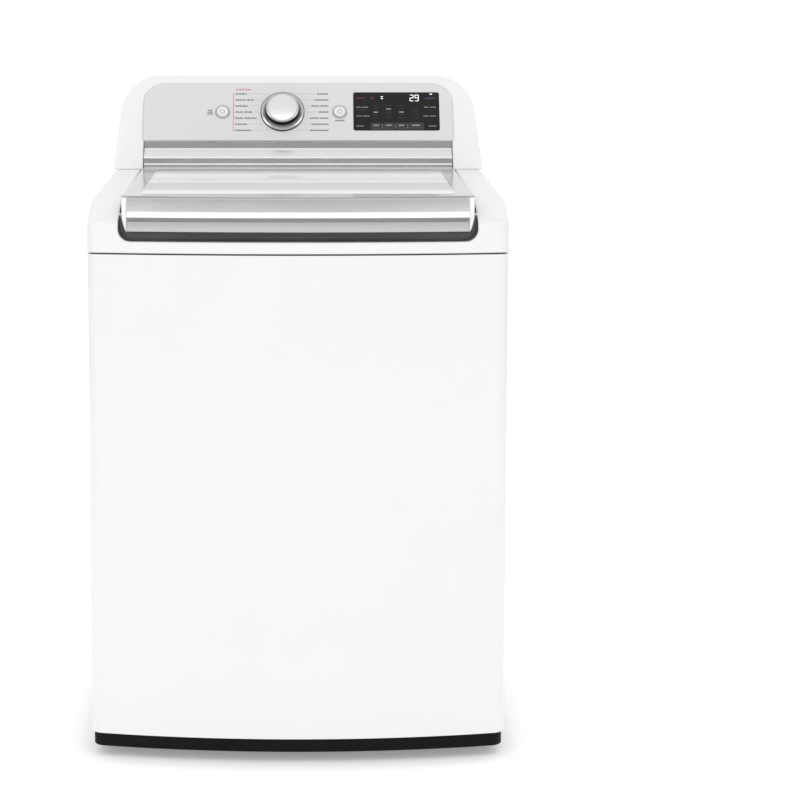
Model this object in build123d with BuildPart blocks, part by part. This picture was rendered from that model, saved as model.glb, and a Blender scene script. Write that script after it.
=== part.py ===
"""A top load washing machine as an assembly of separate pieces, in millimetres.

Frame: X to the machine's right as seen from the front, Y to the rear, Z up.
The origin is on the floor under the middle of the machine.
"""

import math
import os

from build123d import *

# ---- Driving dimensions -------------------------------------------------------------------
WIDTH = 686.0
HEIGHT = 1130.0
FRONT_Y = -360.0  # foremost point, the middle of the bowed front
REAR_Y = 360.0  # ends of the water inlets
BACK_Y = 338.0  # back face of the cabinet sheet
BOW_RADIUS = 1500.0  # bow of the front, seen from above
CORNER_RADIUS = 25.0
SHEET = 1.0  # steel sheet
WALL = 3.0  # moulded plastic wall

PLINTH_BOTTOM_Z = 18.0
PLINTH_TOP_Z = 41.0
SEAM_Z = 836.0  # top edge of the steel cabinet
SEAM_GAP = 2.5
DECK_Z = 955.0  # foot of the console on the top cover

LID_HALF = 286.0  # half the lid's width
LID_REAR_Y = 180.0
LID_REAR_Z = 960.0
LID_SLOPE = 3.6  # degrees, falling to the front
LID_THICKNESS = 22.0
HINGE_Y = 172.0
HINGE_Z = 943.0
HINGE_PIN_RADIUS = 3.5
HINGE_PIN_LENGTH = 34.5
HINGE_PIN_DEPTH = 16.0  # how far each pin is sunk into the lid's side

PANEL_LEAN = 29.0  # degrees from upright
PANEL_FOOT_Y = 209.5
PANEL_FOOT_Z = 1007.6
PANEL_WIDTH = 579.0
PANEL_LENGTH = 122.0
PANEL_THICKNESS = 6.0
PANEL_PROUD = 2.0

TUB_Y = -11.0  # the drum's axis
TUB_RADIUS = 296.0
TUB_WALL = 4.0
TUB_FLOOR_Z = 232.0
TUB_TOP_Z = 826.0
BASKET_RADIUS = 275.5
BASKET_FLOOR_Z = 262.0
BASKET_TOP_Z = 775.0
SHAFT_RADIUS = 8.0
SPIN_TUBE_RADIUS = 14.0
RUNNING = 0.05  # radial clearance of a running fit

ROD_X = 282.0
ROD_FRONT_Y = -262.0
ROD_REAR_Y = 240.0
ROD_RADIUS = 4.0
FOOT_X = 288.0
FOOT_FRONT_Y = -240.0
FOOT_REAR_Y = 290.0
STUD_RADIUS = 6.0

HALF = WIDTH / 2
BOW_CENTRE_Y = FRONT_Y + BOW_RADIUS
FALL = math.tan(math.radians(LID_SLOPE))
LEAN = math.tan(math.radians(PANEL_LEAN))
ROD_PLACES = [(x, y) for x in (-ROD_X, ROD_X) for y in (ROD_FRONT_Y, ROD_REAR_Y)]
FOOT_PLACES = {
    "foot_front_left": (-FOOT_X, FOOT_FRONT_Y),
    "foot_front_right": (FOOT_X, FOOT_FRONT_Y),
    "foot_rear_left": (-FOOT_X, FOOT_REAR_Y),
    "foot_rear_right": (FOOT_X, FOOT_REAR_Y),
}

# The control panel's own plane: X to the right, Y up the panel, Z out of it.
_s, _c = math.sin(math.radians(PANEL_LEAN)), math.cos(math.radians(PANEL_LEAN))
PANEL_PLANE = Plane(origin=(0, PANEL_FOOT_Y, PANEL_FOOT_Z), x_dir=(1, 0, 0), z_dir=(0, -_c, _s))
# The lid's own plane: X to the right, Y to the rear along the glass, Z out of it.
LID_PLANE = Plane(
    origin=(0, LID_REAR_Y, LID_REAR_Z),
    x_dir=(1, 0, 0),
    z_dir=(0, -math.sin(math.radians(LID_SLOPE)), math.cos(math.radians(LID_SLOPE))),
)

KNOB_PLACE = (-29.0, 61.0)
KNOB_SKIRT_RADIUS = 41.0
KNOB_CAP_RADIUS = 30.0
BUTTON_PLACES = {"power_button": (-141.0, 61.0), "start_button": (78.0, 61.0)}
BUTTON_RADIUS = 11.0
DISPLAY_PLACE = (184.0, 62.0)
DISPLAY_SIZE = (161.0, 81.0)

os.makedirs("parts", exist_ok=True)


def save(part, name):
    """Labels a finished piece and writes it as a STEP file of the same name."""
    part.label = name
    export_step(part, f"parts/{name}.step")


def lid_top_z(y):
    """Height of the lid's top surface at a depth."""
    return LID_REAR_Z - (LID_REAR_Y - y) * FALL


def bow_y(x, inset=0.0):
    """Depth of the bowed front at a distance from the middle."""
    return BOW_CENTRE_Y - math.sqrt((BOW_RADIUS - inset) ** 2 - x**2)


def panel_plane_at(place, height=0.0):
    """The control panel's plane moved to a place on it, at a height above its face."""
    return Plane(PANEL_PLANE.from_local_coords(Vector(*place, height)), PANEL_PLANE.x_dir, PANEL_PLANE.z_dir)


def panel_section_at(place):
    """A plane through a place on the panel that holds the panel's normal as its Y."""
    origin = PANEL_PLANE.from_local_coords(Vector(*place, 0))
    return Plane(origin, PANEL_PLANE.x_dir, -PANEL_PLANE.y_dir)


def plan_outline(inset, rear_y, half_width=HALF):
    """Plan of the machine: a bowed front, rounded front corners and straight sides."""
    half = half_width - inset
    corner_y = bow_y(half, inset)
    with BuildSketch() as outline:
        with BuildLine():
            front = ThreePointArc((-half, corner_y), (0, FRONT_Y + inset), (half, corner_y))
            Polyline(front @ 1, (half, rear_y), (-half, rear_y), front @ 0)
        make_face()
        fillet(outline.vertices().group_by(Axis.Y)[0], max(CORNER_RADIUS - inset, 2.0))
    return outline.sketch


# ---- Cabinet ------------------------------------------------------------------------------
def make_cabinet_shell():
    """Front and sides in one bent sheet, with a flange round the top and down the rear edges."""
    flange = 16.0
    with BuildPart() as shell:
        with BuildSketch(Plane.XY.offset(PLINTH_TOP_Z)):
            add(plan_outline(0, BACK_Y))
            add(plan_outline(SHEET, BACK_Y + SHEET), mode=Mode.SUBTRACT)
            with Locations((HALF - flange / 2, BACK_Y - SHEET / 2), (flange / 2 - HALF, BACK_Y - SHEET / 2)):
                Rectangle(flange, SHEET)
        extrude(amount=SEAM_Z - PLINTH_TOP_Z)
        with BuildSketch(Plane.XY.offset(SEAM_Z - SHEET)):
            add(plan_outline(0, BACK_Y))
            add(plan_outline(flange, BACK_Y + SHEET), mode=Mode.SUBTRACT)
        extrude(amount=SHEET)
    save(shell.part, "cabinet_shell")


DRAIN_PORT_PLACE = (300.0, 690.0)  # X and Z on the rear panel
CORD_GLAND_PLACE = (-282.0, 770.0)
PANEL_SCREWS = [(x, z) for x in (-332.0, 332.0) for z in (80.0, 260.0, 440.0, 620.0, 800.0)]


def make_rear_panel():
    """Flat sheet with pressed stiffening frames, and holes for the drain port and the cord."""
    plane = Plane.XZ.offset(-BACK_Y)
    low, high = PLINTH_TOP_Z + 4, SEAM_Z + 2
    with BuildPart() as panel:
        with BuildSketch(Plane.XZ.offset(-BACK_Y - SHEET)):
            with Locations((0, (low + high) / 2)):
                RectangleRounded(WIDTH - 4, high - low, 6)
        extrude(amount=SHEET)
        with BuildSketch(Plane.XZ.offset(-BACK_Y - SHEET - 4)):
            with Locations((0, 250), (0, 590)):
                RectangleRounded(520, 270, 30)
        pressed = extrude(amount=4, taper=-20)
        with BuildSketch(plane):
            with Locations((0, 250), (0, 590)):
                RectangleRounded(514, 264, 28)
        extrude(amount=-4, mode=Mode.SUBTRACT)
        with BuildSketch(plane):
            with Locations(DRAIN_PORT_PLACE):
                Circle(17.5)
            with Locations(CORD_GLAND_PLACE):
                Circle(11.2)
            with Locations(*PANEL_SCREWS):
                Circle(2.2)
        extrude(amount=-10, mode=Mode.SUBTRACT)
    save(panel.part, "rear_panel")


def make_rear_panel_screws():
    """Hexagon washer-head screws down both edges of the rear panel."""
    with BuildPart() as screws:
        with BuildSketch(Plane.XZ.offset(-BACK_Y - SHEET)):
            with Locations(*PANEL_SCREWS):
                Circle(6)
        extrude(amount=-1.2)
        with BuildSketch(Plane.XZ.offset(-BACK_Y - SHEET - 1.2)):
            with Locations(*PANEL_SCREWS):
                RegularPolygon(4.2, 6)
        extrude(amount=-4)
        with BuildSketch(Plane.XZ.offset(-BACK_Y - SHEET)):
            with Locations(*PANEL_SCREWS):
                Circle(2.0)
        extrude(amount=SHEET)
    save(screws.part, "rear_panel_screws")


def make_base_frame():
    """Ribbed base ring that carries the cabinet, the drain pump and the four feet."""
    top, bottom = 62.0, 26.0
    with BuildPart() as base:
        with BuildSketch(Plane.XY.offset(bottom)):
            add(plan_outline(8, BACK_Y - 4))
            add(plan_outline(14, BACK_Y - 10), mode=Mode.SUBTRACT)
        extrude(amount=top - bottom)
        with BuildSketch(Plane.XY.offset(bottom + 14)):
            add(plan_outline(8, BACK_Y - 4))
            with Locations((0, TUB_Y)):
                Circle(215, mode=Mode.SUBTRACT)
        extrude(amount=4)
        with BuildSketch(Plane.XY.offset(bottom)):
            with Locations((0, TUB_Y)):
                Circle(221)
                Circle(215, mode=Mode.SUBTRACT)
        extrude(amount=22)
        with BuildSketch(Plane.XY.offset(bottom)):
            with Locations(*FOOT_PLACES.values()):
                Circle(20)
        extrude(amount=top - bottom)
        with BuildSketch(Plane.XY.offset(bottom)):
            with Locations(*FOOT_PLACES.values()):
                Circle(STUD_RADIUS + 0.4)
        extrude(amount=top - bottom, mode=Mode.SUBTRACT)
    save(base.part, "base_frame")


def make_plinth():
    """Black kick strip round the front and the sides, set a little way in."""
    with BuildPart() as plinth:
        with BuildSketch(Plane.XY.offset(PLINTH_BOTTOM_Z)):
            add(plan_outline(4, BACK_Y - 2))
            add(plan_outline(7, BACK_Y + 2), mode=Mode.SUBTRACT)
        extrude(amount=PLINTH_TOP_Z + 8 - PLINTH_BOTTOM_Z)
        foot_edges = plinth.faces().sort_by(Axis.Z)[0].edges().filter_by(lambda e: e.length > 60)
        chamfer([e for e in foot_edges if abs(e.center().X) > HALF - 4.6 or e.center().Y < FRONT_Y + 5], 1.2)
    save(plinth.part, "plinth")


def make_feet():
    """Four screw feet: a round pad, a hexagon for the spanner and a stud."""
    for name, place in FOOT_PLACES.items():
        with BuildPart() as foot:
            with BuildSketch():
                with Locations(place):
                    Circle(21)
            extrude(amount=11)
            chamfer(foot.edges().group_by(Axis.Z)[-1], 3)
            with BuildSketch(Plane.XY.offset(11)):
                with Locations(place):
                    RegularPolygon(11, 6)
            extrude(amount=8)
            with BuildSketch(Plane.XY.offset(19)):
                with Locations(place):
                    Circle(STUD_RADIUS)
            extrude(amount=51)
            chamfer(foot.edges().group_by(Axis.Z)[-1], 1)
        save(foot.part, name)


# ---- Top cover ----------------------------------------------------------------------------
COVER_BOTTOM_Z = SEAM_Z + SEAM_GAP
WELL_HALF = LID_HALF + 4.5
WELL_REAR_Y = 191.5
WELL_FRONT_Y = -300.0
WELL_CLEARANCE = 8.0  # air under the lid
POCKET_FLOOR_Z = 857.0
MOUTH_REAR_Y = 150.0
MOUTH_RADIUS = 240.0
MOUTH_BOTTOM_Z = 864.0
DRAWER_X = -75.0
DRAWER_WIDTH = 136.0
DRAWER_LOW_Z = 872.0
DRAWER_HIGH_Z = 912.0


def well_floor_z(y):
    """Height of the floor that the lid lies over."""
    return lid_top_z(y) - LID_THICKNESS - WELL_CLEARANCE


def cover_body(inset, edge_radius):
    """The cover's outer volume, or its inner one when inset by the wall."""
    with BuildPart() as body:
        with BuildSketch(Plane.XY.offset(COVER_BOTTOM_Z)):
            add(plan_outline(inset, BACK_Y - inset))
        extrude(amount=160)
        with BuildSketch(Plane.YZ) as side:
            with BuildLine():
                Polyline(
                    (FRONT_Y - 20, COVER_BOTTOM_Z - 5),
                    (BACK_Y + 20, COVER_BOTTOM_Z - 5),
                    (BACK_Y + 20, DECK_Z - inset),
                    (180, DECK_Z - inset),
                    (-235, 923 - inset),
                    (FRONT_Y - 20, 867 - inset),
                    close=True,
                )
            make_face()
            bends = side.vertices().sort_by(Axis.X)
            fillet([v for v in bends if abs(v.X + 235) < 1], 60)
        extrude(amount=WIDTH, both=True, mode=Mode.INTERSECT)
        rim = [
            e
            for e in body.edges()
            if e.center().Z > COVER_BOTTOM_Z + 10
            and e.center().Y < BACK_Y - inset - 1
            and (abs(e.center().X) > HALF - inset - CORNER_RADIUS or e.center().Y < -250)
            and e.bounding_box().size.Z < 45
        ]
        rim = [e for e in rim if not (abs(e.bounding_box().size.X) < 0.01 and abs(e.center().X) < 300)]
        fillet([e for e in rim if e.bounding_box().size.Y > 0.5 or e.bounding_box().size.X > 0.5], edge_radius)
    return body.part


def well_volume(grow):
    """Space of the lid well and of the finger pocket in front of it, grown by a wall."""
    with BuildPart() as well:
        with BuildSketch(Plane.YZ):
            with BuildLine():
                Polyline(
                    (WELL_FRONT_Y - 60, well_floor_z(WELL_FRONT_Y - 60) - grow),
                    (WELL_REAR_Y + grow, well_floor_z(WELL_REAR_Y + grow) - grow),
                    (WELL_REAR_Y + grow, HEIGHT),
                    (WELL_FRONT_Y - 60, HEIGHT),
                    close=True,
                )
            make_face()
        extrude(amount=WELL_HALF + grow, both=True)
        with BuildSketch(Plane.XZ.offset(-WELL_FRONT_Y - grow)) as pocket:
            with Locations((0, (POCKET_FLOOR_Z + HEIGHT) / 2 - grow)):
                Rectangle(2 * (WELL_HALF + grow), HEIGHT - POCKET_FLOOR_Z)
            fillet(pocket.vertices().group_by(Axis.Y)[0], 20)
        extrude(amount=140)
    return well.part


def mouth_outline(grow):
    """Plan of the laundry opening: a circle cut straight across at the rear."""
    with BuildSketch() as mouth:
        with Locations((0, -20)):
            Circle(MOUTH_RADIUS + grow)
        with Locations((0, MOUTH_REAR_Y + grow + 200)):
            Rectangle(700, 400, mode=Mode.SUBTRACT)
        fillet(mouth.vertices(), 30 + grow)
    return mouth.sketch


INLET_PLACES = {"cold": (110.0, 905.0), "hot": (175.0, 905.0)}
LOCK_X = 262.0
LOCK_Y = -250.0


def make_top_cover():
    """White moulding over the cabinet: side rails, lid well, finger pocket and laundry mouth."""
    outside = cover_body(0, 13)
    inside = cover_body(WALL, 10)
    well = well_volume(0)
    well_wall = well_volume(WALL)
    with BuildPart() as cover:
        add(outside)
        add(well, mode=Mode.SUBTRACT)
        with BuildPart(mode=Mode.PRIVATE) as hollow:
            add(inside)
            add(well_wall, mode=Mode.SUBTRACT)
            with BuildSketch(Plane.XY.offset(MOUTH_BOTTOM_Z)):
                add(mouth_outline(WALL))
            extrude(amount=80, mode=Mode.SUBTRACT)
        add(hollow.part, mode=Mode.SUBTRACT)
        with BuildSketch(Plane.XY.offset(MOUTH_BOTTOM_Z)):
            add(mouth_outline(0))
        extrude(amount=80, mode=Mode.SUBTRACT)
        drawer_way = Box(
            DRAWER_WIDTH + 3,
            20,
            DRAWER_HIGH_Z - DRAWER_LOW_Z + 3,
            mode=Mode.PRIVATE,
        )
        add(
            drawer_way.moved(Location((DRAWER_X, MOUTH_REAR_Y, (DRAWER_LOW_Z + DRAWER_HIGH_Z) / 2))),
            mode=Mode.SUBTRACT,
        )
        with BuildSketch(Plane.XZ.offset(-BACK_Y)):
            with Locations(*INLET_PLACES.values()):
                Circle(19)
        extrude(amount=WALL + 1, mode=Mode.SUBTRACT)
        with BuildSketch(Plane.YZ):
            with Locations((HINGE_Y, HINGE_Z)):
                Circle(HINGE_PIN_RADIUS + 1)
        extrude(amount=WELL_HALF + WALL + 1, both=True, mode=Mode.SUBTRACT)
        with BuildSketch(Plane.XY.offset(860)):
            with Locations((LOCK_X, LOCK_Y - 2)):
                RectangleRounded(18, 24, 3)
        extrude(amount=60, mode=Mode.SUBTRACT)
        with BuildSketch(Plane.XY.offset(SEAM_Z)):
            add(plan_outline(5, BACK_Y - 5))
            add(plan_outline(9, BACK_Y - 9), mode=Mode.SUBTRACT)
        extrude(amount=SEAM_GAP + 5)
        with BuildSketch(Plane.XY.offset(COVER_BOTTOM_Z + 2)):
            add(plan_outline(1, BACK_Y - 1))
            add(plan_outline(9, BACK_Y - 9), mode=Mode.SUBTRACT)
        extrude(amount=3)
    save(cover.part, "top_cover")


# ---- Lid ----------------------------------------------------------------------------------
WINDOW_HALF = 252.0
WINDOW_REAR_Y = 95.0
WINDOW_FRONT_Y = -268.0
GLASS_THICKNESS = 4.0
LIP_Y = -330.0  # the middle of the frame's front, where the handle band begins
BAND_HALF = 276.5
BAND_PROFILE = [
    (-330.0, 925.0),
    (-344.0, 927.0),
    (-347.0, 925.0),
    (-353.5, 905.0),
    (-357.0, 896.0),
    (-357.5, 892.0),
    (-354.0, 889.0),
    (-351.0, 873.0),
    (-346.0, 871.5),
    (-344.0, 873.0),
    (-344.0, 886.0),
    (-338.0, 893.0),
    (-330.0, 904.0),
]


def bowed(profile, half_angle):
    """Sweeps a section of depth and height round the bow's centre, as far on each side as asked."""
    turn = math.radians(half_angle)
    towards = (-math.sin(turn), -math.cos(turn), 0)
    across = (-math.cos(turn), math.sin(turn), 0)
    plane = Plane(origin=(0, BOW_CENTRE_Y, 0), x_dir=towards, z_dir=across)
    with BuildPart() as swept:
        with BuildSketch(plane):
            with BuildLine():
                Polyline(*[(BOW_CENTRE_Y - y, z) for y, z in profile], close=True)
            make_face()
        revolve(axis=Axis((0, BOW_CENTRE_Y, 0), (0, 0, 1)), revolution_arc=2 * half_angle)
    return swept.part


def lid_slab(top, bottom, half_width):
    """Slice of the lid between two depths below its top surface, with its bowed front."""
    front_y = BOW_CENTRE_Y - math.sqrt((BOW_CENTRE_Y - LIP_Y) ** 2 - half_width**2)
    with BuildPart() as slab:
        with BuildSketch(Plane.XY.offset(860)):
            with BuildLine():
                front = ThreePointArc((-half_width, front_y), (0, LIP_Y), (half_width, front_y))
                Polyline(front @ 1, (half_width, LID_REAR_Y), (-half_width, LID_REAR_Y), front @ 0)
            make_face()
        extrude(amount=120)
        with BuildSketch(Plane.YZ) as side:
            with BuildLine():
                Polyline(
                    (LIP_Y - 40, lid_top_z(LIP_Y - 40) - top),
                    (LID_REAR_Y, LID_REAR_Z - top),
                    (LID_REAR_Y, LID_REAR_Z - bottom),
                    (LIP_Y - 40, lid_top_z(LIP_Y - 40) - bottom),
                    close=True,
                )
            make_face()
            if top == 0:
                rear = side.vertices().group_by(Axis.X)[-1].sort_by(Axis.Y)
                fillet(rear[1], 6)
                fillet(side.vertices().group_by(Axis.X)[-1].sort_by(Axis.Y)[0], 5)
        extrude(amount=half_width + 10, both=True, mode=Mode.INTERSECT)
    return slab.part


def window_block(grow, top, bottom):
    """Block through the lid where the glass is, square to the lid's own plane."""
    rear = (LID_REAR_Y - WINDOW_REAR_Y) / math.cos(math.radians(LID_SLOPE)) - grow
    front = (LID_REAR_Y - WINDOW_FRONT_Y) / math.cos(math.radians(LID_SLOPE)) + grow
    with BuildPart() as block:
        with BuildSketch(LID_PLANE.offset(-top)):
            with Locations((0, -(rear + front) / 2)):
                RectangleRounded(2 * (WINDOW_HALF + grow), front - rear, 6 + grow)
        extrude(amount=-(bottom - top))
    return block.part


def make_lid():
    """Lid frame with its glass, the bowed handle band, end caps, striker, bumpers and pins."""
    with BuildPart() as frame:
        add(lid_slab(0, LID_THICKNESS, LID_HALF))
        long_sides = [e for e in frame.edges() if abs(abs(e.center().X) - LID_HALF) < 0.1]
        fillet([e for e in long_sides if e.length > 300 and e.center().Z > 935], 2)
        add(window_block(0, -1, LID_THICKNESS + 2), mode=Mode.SUBTRACT)
        add(window_block(6, -1, GLASS_THICKNESS), mode=Mode.SUBTRACT)
        with BuildSketch(Plane.YZ.offset(-LID_HALF)):
            with Locations((HINGE_Y, HINGE_Z)):
                Circle(HINGE_PIN_RADIUS)
        extrude(amount=HINGE_PIN_DEPTH, mode=Mode.SUBTRACT)
        with BuildSketch(Plane.YZ.offset(LID_HALF)):
            with Locations((HINGE_Y, HINGE_Z)):
                Circle(HINGE_PIN_RADIUS)
        extrude(amount=-HINGE_PIN_DEPTH, mode=Mode.SUBTRACT)
    save(frame.part, "lid_frame")

    with BuildPart() as glass:
        add(window_block(6, 0, GLASS_THICKNESS))
        chamfer(glass.faces().sort_by(Axis.Z)[-1].edges(), 0.6)
    save(glass.part, "lid_glass")

    with BuildPart() as handle:
        add(bowed(BAND_PROFILE, 12))
        with BuildSketch(Plane.XZ):
            with Locations((0, 900)):
                Rectangle(2 * BAND_HALF, 100)
        extrude(amount=400, mode=Mode.INTERSECT)
    save(handle.part, "lid_handle")

    cap_profile = [
        (-330.0, 925.0),
        (-346.0, 927.5),
        (-355.0, 905.0),
        (-358.5, 893.0),
        (-352.5, 871.5),
        (-343.0, 871.5),
        (-343.0, 886.0),
        (-330.0, 904.0),
    ]
    with BuildPart() as caps:
        add(bowed(cap_profile, 12))
        with BuildSketch(Plane.XZ):
            for side in (-1, 1):
                with BuildLine():
                    Polyline(
                        (side * BAND_HALF, 935),
                        (side * LID_HALF, 935),
                        (side * (LID_HALF - 2), 895),
                        (side * (LID_HALF - 6), 878),
                        (side * (LID_HALF - 9.4), 871),
                        (side * BAND_HALF, 871),
                        close=True,
                    )
                make_face()
        extrude(amount=400, mode=Mode.INTERSECT)
    save(caps.part, "lid_end_caps")

    striker_top = lid_top_z(LOCK_Y - 2) - LID_THICKNESS
    with BuildPart() as striker:
        with BuildSketch(Plane.XZ.offset(-LOCK_Y - 2)):
            with Locations((LOCK_X, (striker_top + 880) / 2)):
                Rectangle(12, striker_top - 880)
            with Locations((LOCK_X, 888)):
                Rectangle(8, 8, mode=Mode.SUBTRACT)
        extrude(amount=4)
        with BuildSketch(Plane.YZ.offset(LOCK_X - 10)):
            with BuildLine():
                Polyline(
                    (LOCK_Y - 8, lid_top_z(LOCK_Y - 8) - LID_THICKNESS),
                    (LOCK_Y + 8, lid_top_z(LOCK_Y + 8) - LID_THICKNESS),
                    (LOCK_Y + 8, lid_top_z(LOCK_Y + 8) - LID_THICKNESS - 2),
                    (LOCK_Y - 8, lid_top_z(LOCK_Y - 8) - LID_THICKNESS - 2),
                    close=True,
                )
            make_face()
        extrude(amount=20)
    save(striker.part, "lid_striker")

    bumper_y = -284
    bumper_top = lid_top_z(bumper_y) - LID_THICKNESS
    with BuildPart() as bumpers:
        with BuildSketch(Plane.XY.offset(well_floor_z(bumper_y) + 0.7)):
            with Locations((-225, bumper_y), (225, bumper_y)):
                Circle(7)
        extrude(amount=12)
        with BuildSketch(Plane.YZ):
            with BuildLine():
                Polyline(
                    (bumper_y - 20, lid_top_z(bumper_y - 20) - LID_THICKNESS),
                    (bumper_y + 20, lid_top_z(bumper_y + 20) - LID_THICKNESS),
                    (bumper_y + 20, bumper_top - 30),
                    (bumper_y - 20, bumper_top - 30),
                    close=True,
                )
            make_face()
        extrude(amount=260, both=True, mode=Mode.INTERSECT)
        chamfer(bumpers.edges().group_by(Axis.Z)[0], 1)
    save(bumpers.part, "lid_bumpers")

    with BuildPart() as pins:
        for side in (-1, 1):
            with BuildSketch(Plane.YZ.offset(side * (LID_HALF - HINGE_PIN_DEPTH))):
                with Locations((HINGE_Y, HINGE_Z)):
                    Circle(HINGE_PIN_RADIUS)
            extrude(amount=side * HINGE_PIN_LENGTH)
        chamfer(pins.edges().group_by(Axis.X)[0] + pins.edges().group_by(Axis.X)[-1], 0.6)
    save(pins.part, "lid_hinge_pins")


def make_hinge_brackets():
    """Bearing blocks under the side rails, one for each of the lid's pins."""
    with BuildPart() as brackets:
        for side in (-1, 1):
            with BuildSketch(Plane.YZ.offset(side * (WELL_HALF + WALL))):
                with BuildLine():
                    Polyline((155, 900), (190, 900), (190, 950), (155, 947), close=True)
                make_face()
                with Locations((HINGE_Y, HINGE_Z)):
                    Circle(HINGE_PIN_RADIUS + RUNNING, mode=Mode.SUBTRACT)
            extrude(amount=side * 12)
    save(brackets.part, "hinge_brackets")


# ---- Console ------------------------------------------------------------------------------
CONSOLE_FOOT_Y = 182.6
CONSOLE_TOP_Y = CONSOLE_FOOT_Y + (HEIGHT - DECK_Z) * LEAN
CONSOLE_TOP_HALF = 326.0
RECESS_HALF = LID_HALF + 1.0
SEAT_DEPTH = PANEL_THICKNESS - PANEL_PROUD


def console_body(inset, edge_radius, foot_z):
    """The console's outer volume, or its inner one when inset by the wall."""
    lean_inset = inset / math.cos(math.radians(PANEL_LEAN))
    drop = (DECK_Z - foot_z) * LEAN
    top = HEIGHT - inset
    top_y = CONSOLE_FOOT_Y + (top - DECK_Z) * LEAN + lean_inset
    with BuildPart() as body:
        with BuildSketch(Plane.YZ):
            with BuildLine():
                Polyline(
                    (CONSOLE_FOOT_Y - drop + lean_inset, foot_z),
                    (top_y, top),
                    (BACK_Y - inset, top),
                    (BACK_Y - inset, foot_z),
                    close=True,
                )
            make_face()
        extrude(amount=HALF, both=True)
        with BuildSketch(Plane.XZ) as front:
            with BuildLine():
                Polyline(
                    (-HALF + inset, foot_z - 1),
                    (HALF - inset, foot_z - 1),
                    (HALF - inset, DECK_Z),
                    (CONSOLE_TOP_HALF - inset, top),
                    (-CONSOLE_TOP_HALF + inset, top),
                    (-HALF + inset, DECK_Z),
                    close=True,
                )
            make_face()
            fillet(front.vertices().group_by(Axis.Y)[-1], 76 - inset)
        extrude(amount=-BACK_Y - 20, mode=Mode.INTERSECT)
        leaning = body.faces().filter_by(lambda f: f.normal_at().Y < -0.5)
        rim = [e for f in leaning for e in f.edges() if e.center().Z > foot_z + 5]
        fillet(rim, edge_radius)
    return body.part


def make_console_housing():
    """White hood that leans back, open below, with a seat for the panel and one for the trim."""
    with BuildPart() as housing:
        add(console_body(0, 14, DECK_Z))
        add(console_body(WALL, 11, DECK_Z - 2), mode=Mode.SUBTRACT)
        with BuildSketch(PANEL_PLANE.offset(20)):
            add(panel_outline(0))
        extrude(amount=-60, mode=Mode.SUBTRACT)
        with BuildSketch(Plane.XY.offset(DECK_Z - 5)):
            with Locations((0, 190)):
                Rectangle(2 * RECESS_HALF, 60)
        extrude(amount=PANEL_FOOT_Z - DECK_Z + 5, mode=Mode.SUBTRACT)
        with BuildSketch(Plane.XZ.offset(-BACK_Y - 1)):
            with Locations((0, 1035)):
                RectangleRounded(520, 110, 12)
        extrude(amount=12, mode=Mode.SUBTRACT)
    save(housing.part, "console_housing")


def panel_outline(inset):
    """The panel's face: large radii above, small ones below."""
    with BuildSketch() as outline:
        with Locations((0, PANEL_LENGTH / 2)):
            Rectangle(PANEL_WIDTH - 2 * inset, PANEL_LENGTH - 2 * inset)
        fillet(outline.vertices().group_by(Axis.Y)[-1], 40 - inset)
        fillet(outline.vertices().group_by(Axis.Y)[0], 6)
    return outline.sketch


def make_control_panel():
    """Silver panel with a bevelled rim, a pocket for the display and bores for the controls."""
    display_x, display_v = DISPLAY_PLACE
    with BuildPart() as panel:
        with BuildSketch(PANEL_PLANE.offset(-PANEL_THICKNESS)):
            add(panel_outline(0))
        extrude(amount=PANEL_THICKNESS)
        face = panel.faces().sort_by(Axis(PANEL_PLANE.origin, PANEL_PLANE.z_dir))[-1]
        chamfer(face.edges(), 1.8)
        with BuildSketch(PANEL_PLANE):
            with Locations(DISPLAY_PLACE):
                RectangleRounded(*DISPLAY_SIZE, 4)
        extrude(amount=-2, mode=Mode.SUBTRACT)
        with BuildSketch(PANEL_PLANE.offset(-2)):
            with Locations((display_x - 55, display_v), (display_x + 55, display_v)):
                Rectangle(20, 8)
        extrude(amount=-10, mode=Mode.SUBTRACT)
        with BuildSketch(PANEL_PLANE):
            with Locations(*BUTTON_PLACES.values()):
                Circle(BUTTON_RADIUS + 0.4)
            with Locations(KNOB_PLACE):
                Circle(3 + RUNNING)
        extrude(amount=-10, mode=Mode.SUBTRACT)
    save(panel.part, "control_panel")


def make_display_glass():
    """Dark pane over the display and its touch keys."""
    with BuildPart() as pane:
        with BuildSketch(PANEL_PLANE.offset(-2)):
            with Locations(DISPLAY_PLACE):
                RectangleRounded(*DISPLAY_SIZE, 4)
        extrude(amount=2.3)
    save(pane.part, "display_glass")


def make_knob():
    """Cycle dial: thin skirt, tapered grip, flat silver cap and a spindle through the panel."""
    with BuildPart() as knob:
        with BuildSketch(panel_section_at(KNOB_PLACE)):
            with BuildLine():
                Polyline(
                    (0, -12),
                    (3, -12),
                    (3, 0.6),
                    (KNOB_SKIRT_RADIUS, 0.6),
                    (KNOB_SKIRT_RADIUS, 1.8),
                    (KNOB_SKIRT_RADIUS - 1.5, 2.6),
                    (36.5, 3.4),
                    (34.5, 5.5),
                    (31.5, 16.0),
                    (30.6, 17.5),
                    (29.0, 18.0),
                    (27.5, 18.0),
                    (27.5, 16.0),
                    (0, 16.0),
                    close=True,
                )
            make_face()
        revolve(axis=Axis(panel_plane_at(KNOB_PLACE).origin, PANEL_PLANE.z_dir))
    save(knob.part, "knob")
    with BuildPart() as cap:
        with BuildSketch(panel_plane_at(KNOB_PLACE, 16)):
            Circle(27.5)
        extrude(amount=2.4)
        chamfer(cap.faces().sort_by(Axis(PANEL_PLANE.origin, PANEL_PLANE.z_dir))[-1].edges(), 0.6)
    save(cap.part, "knob_cap")


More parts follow.
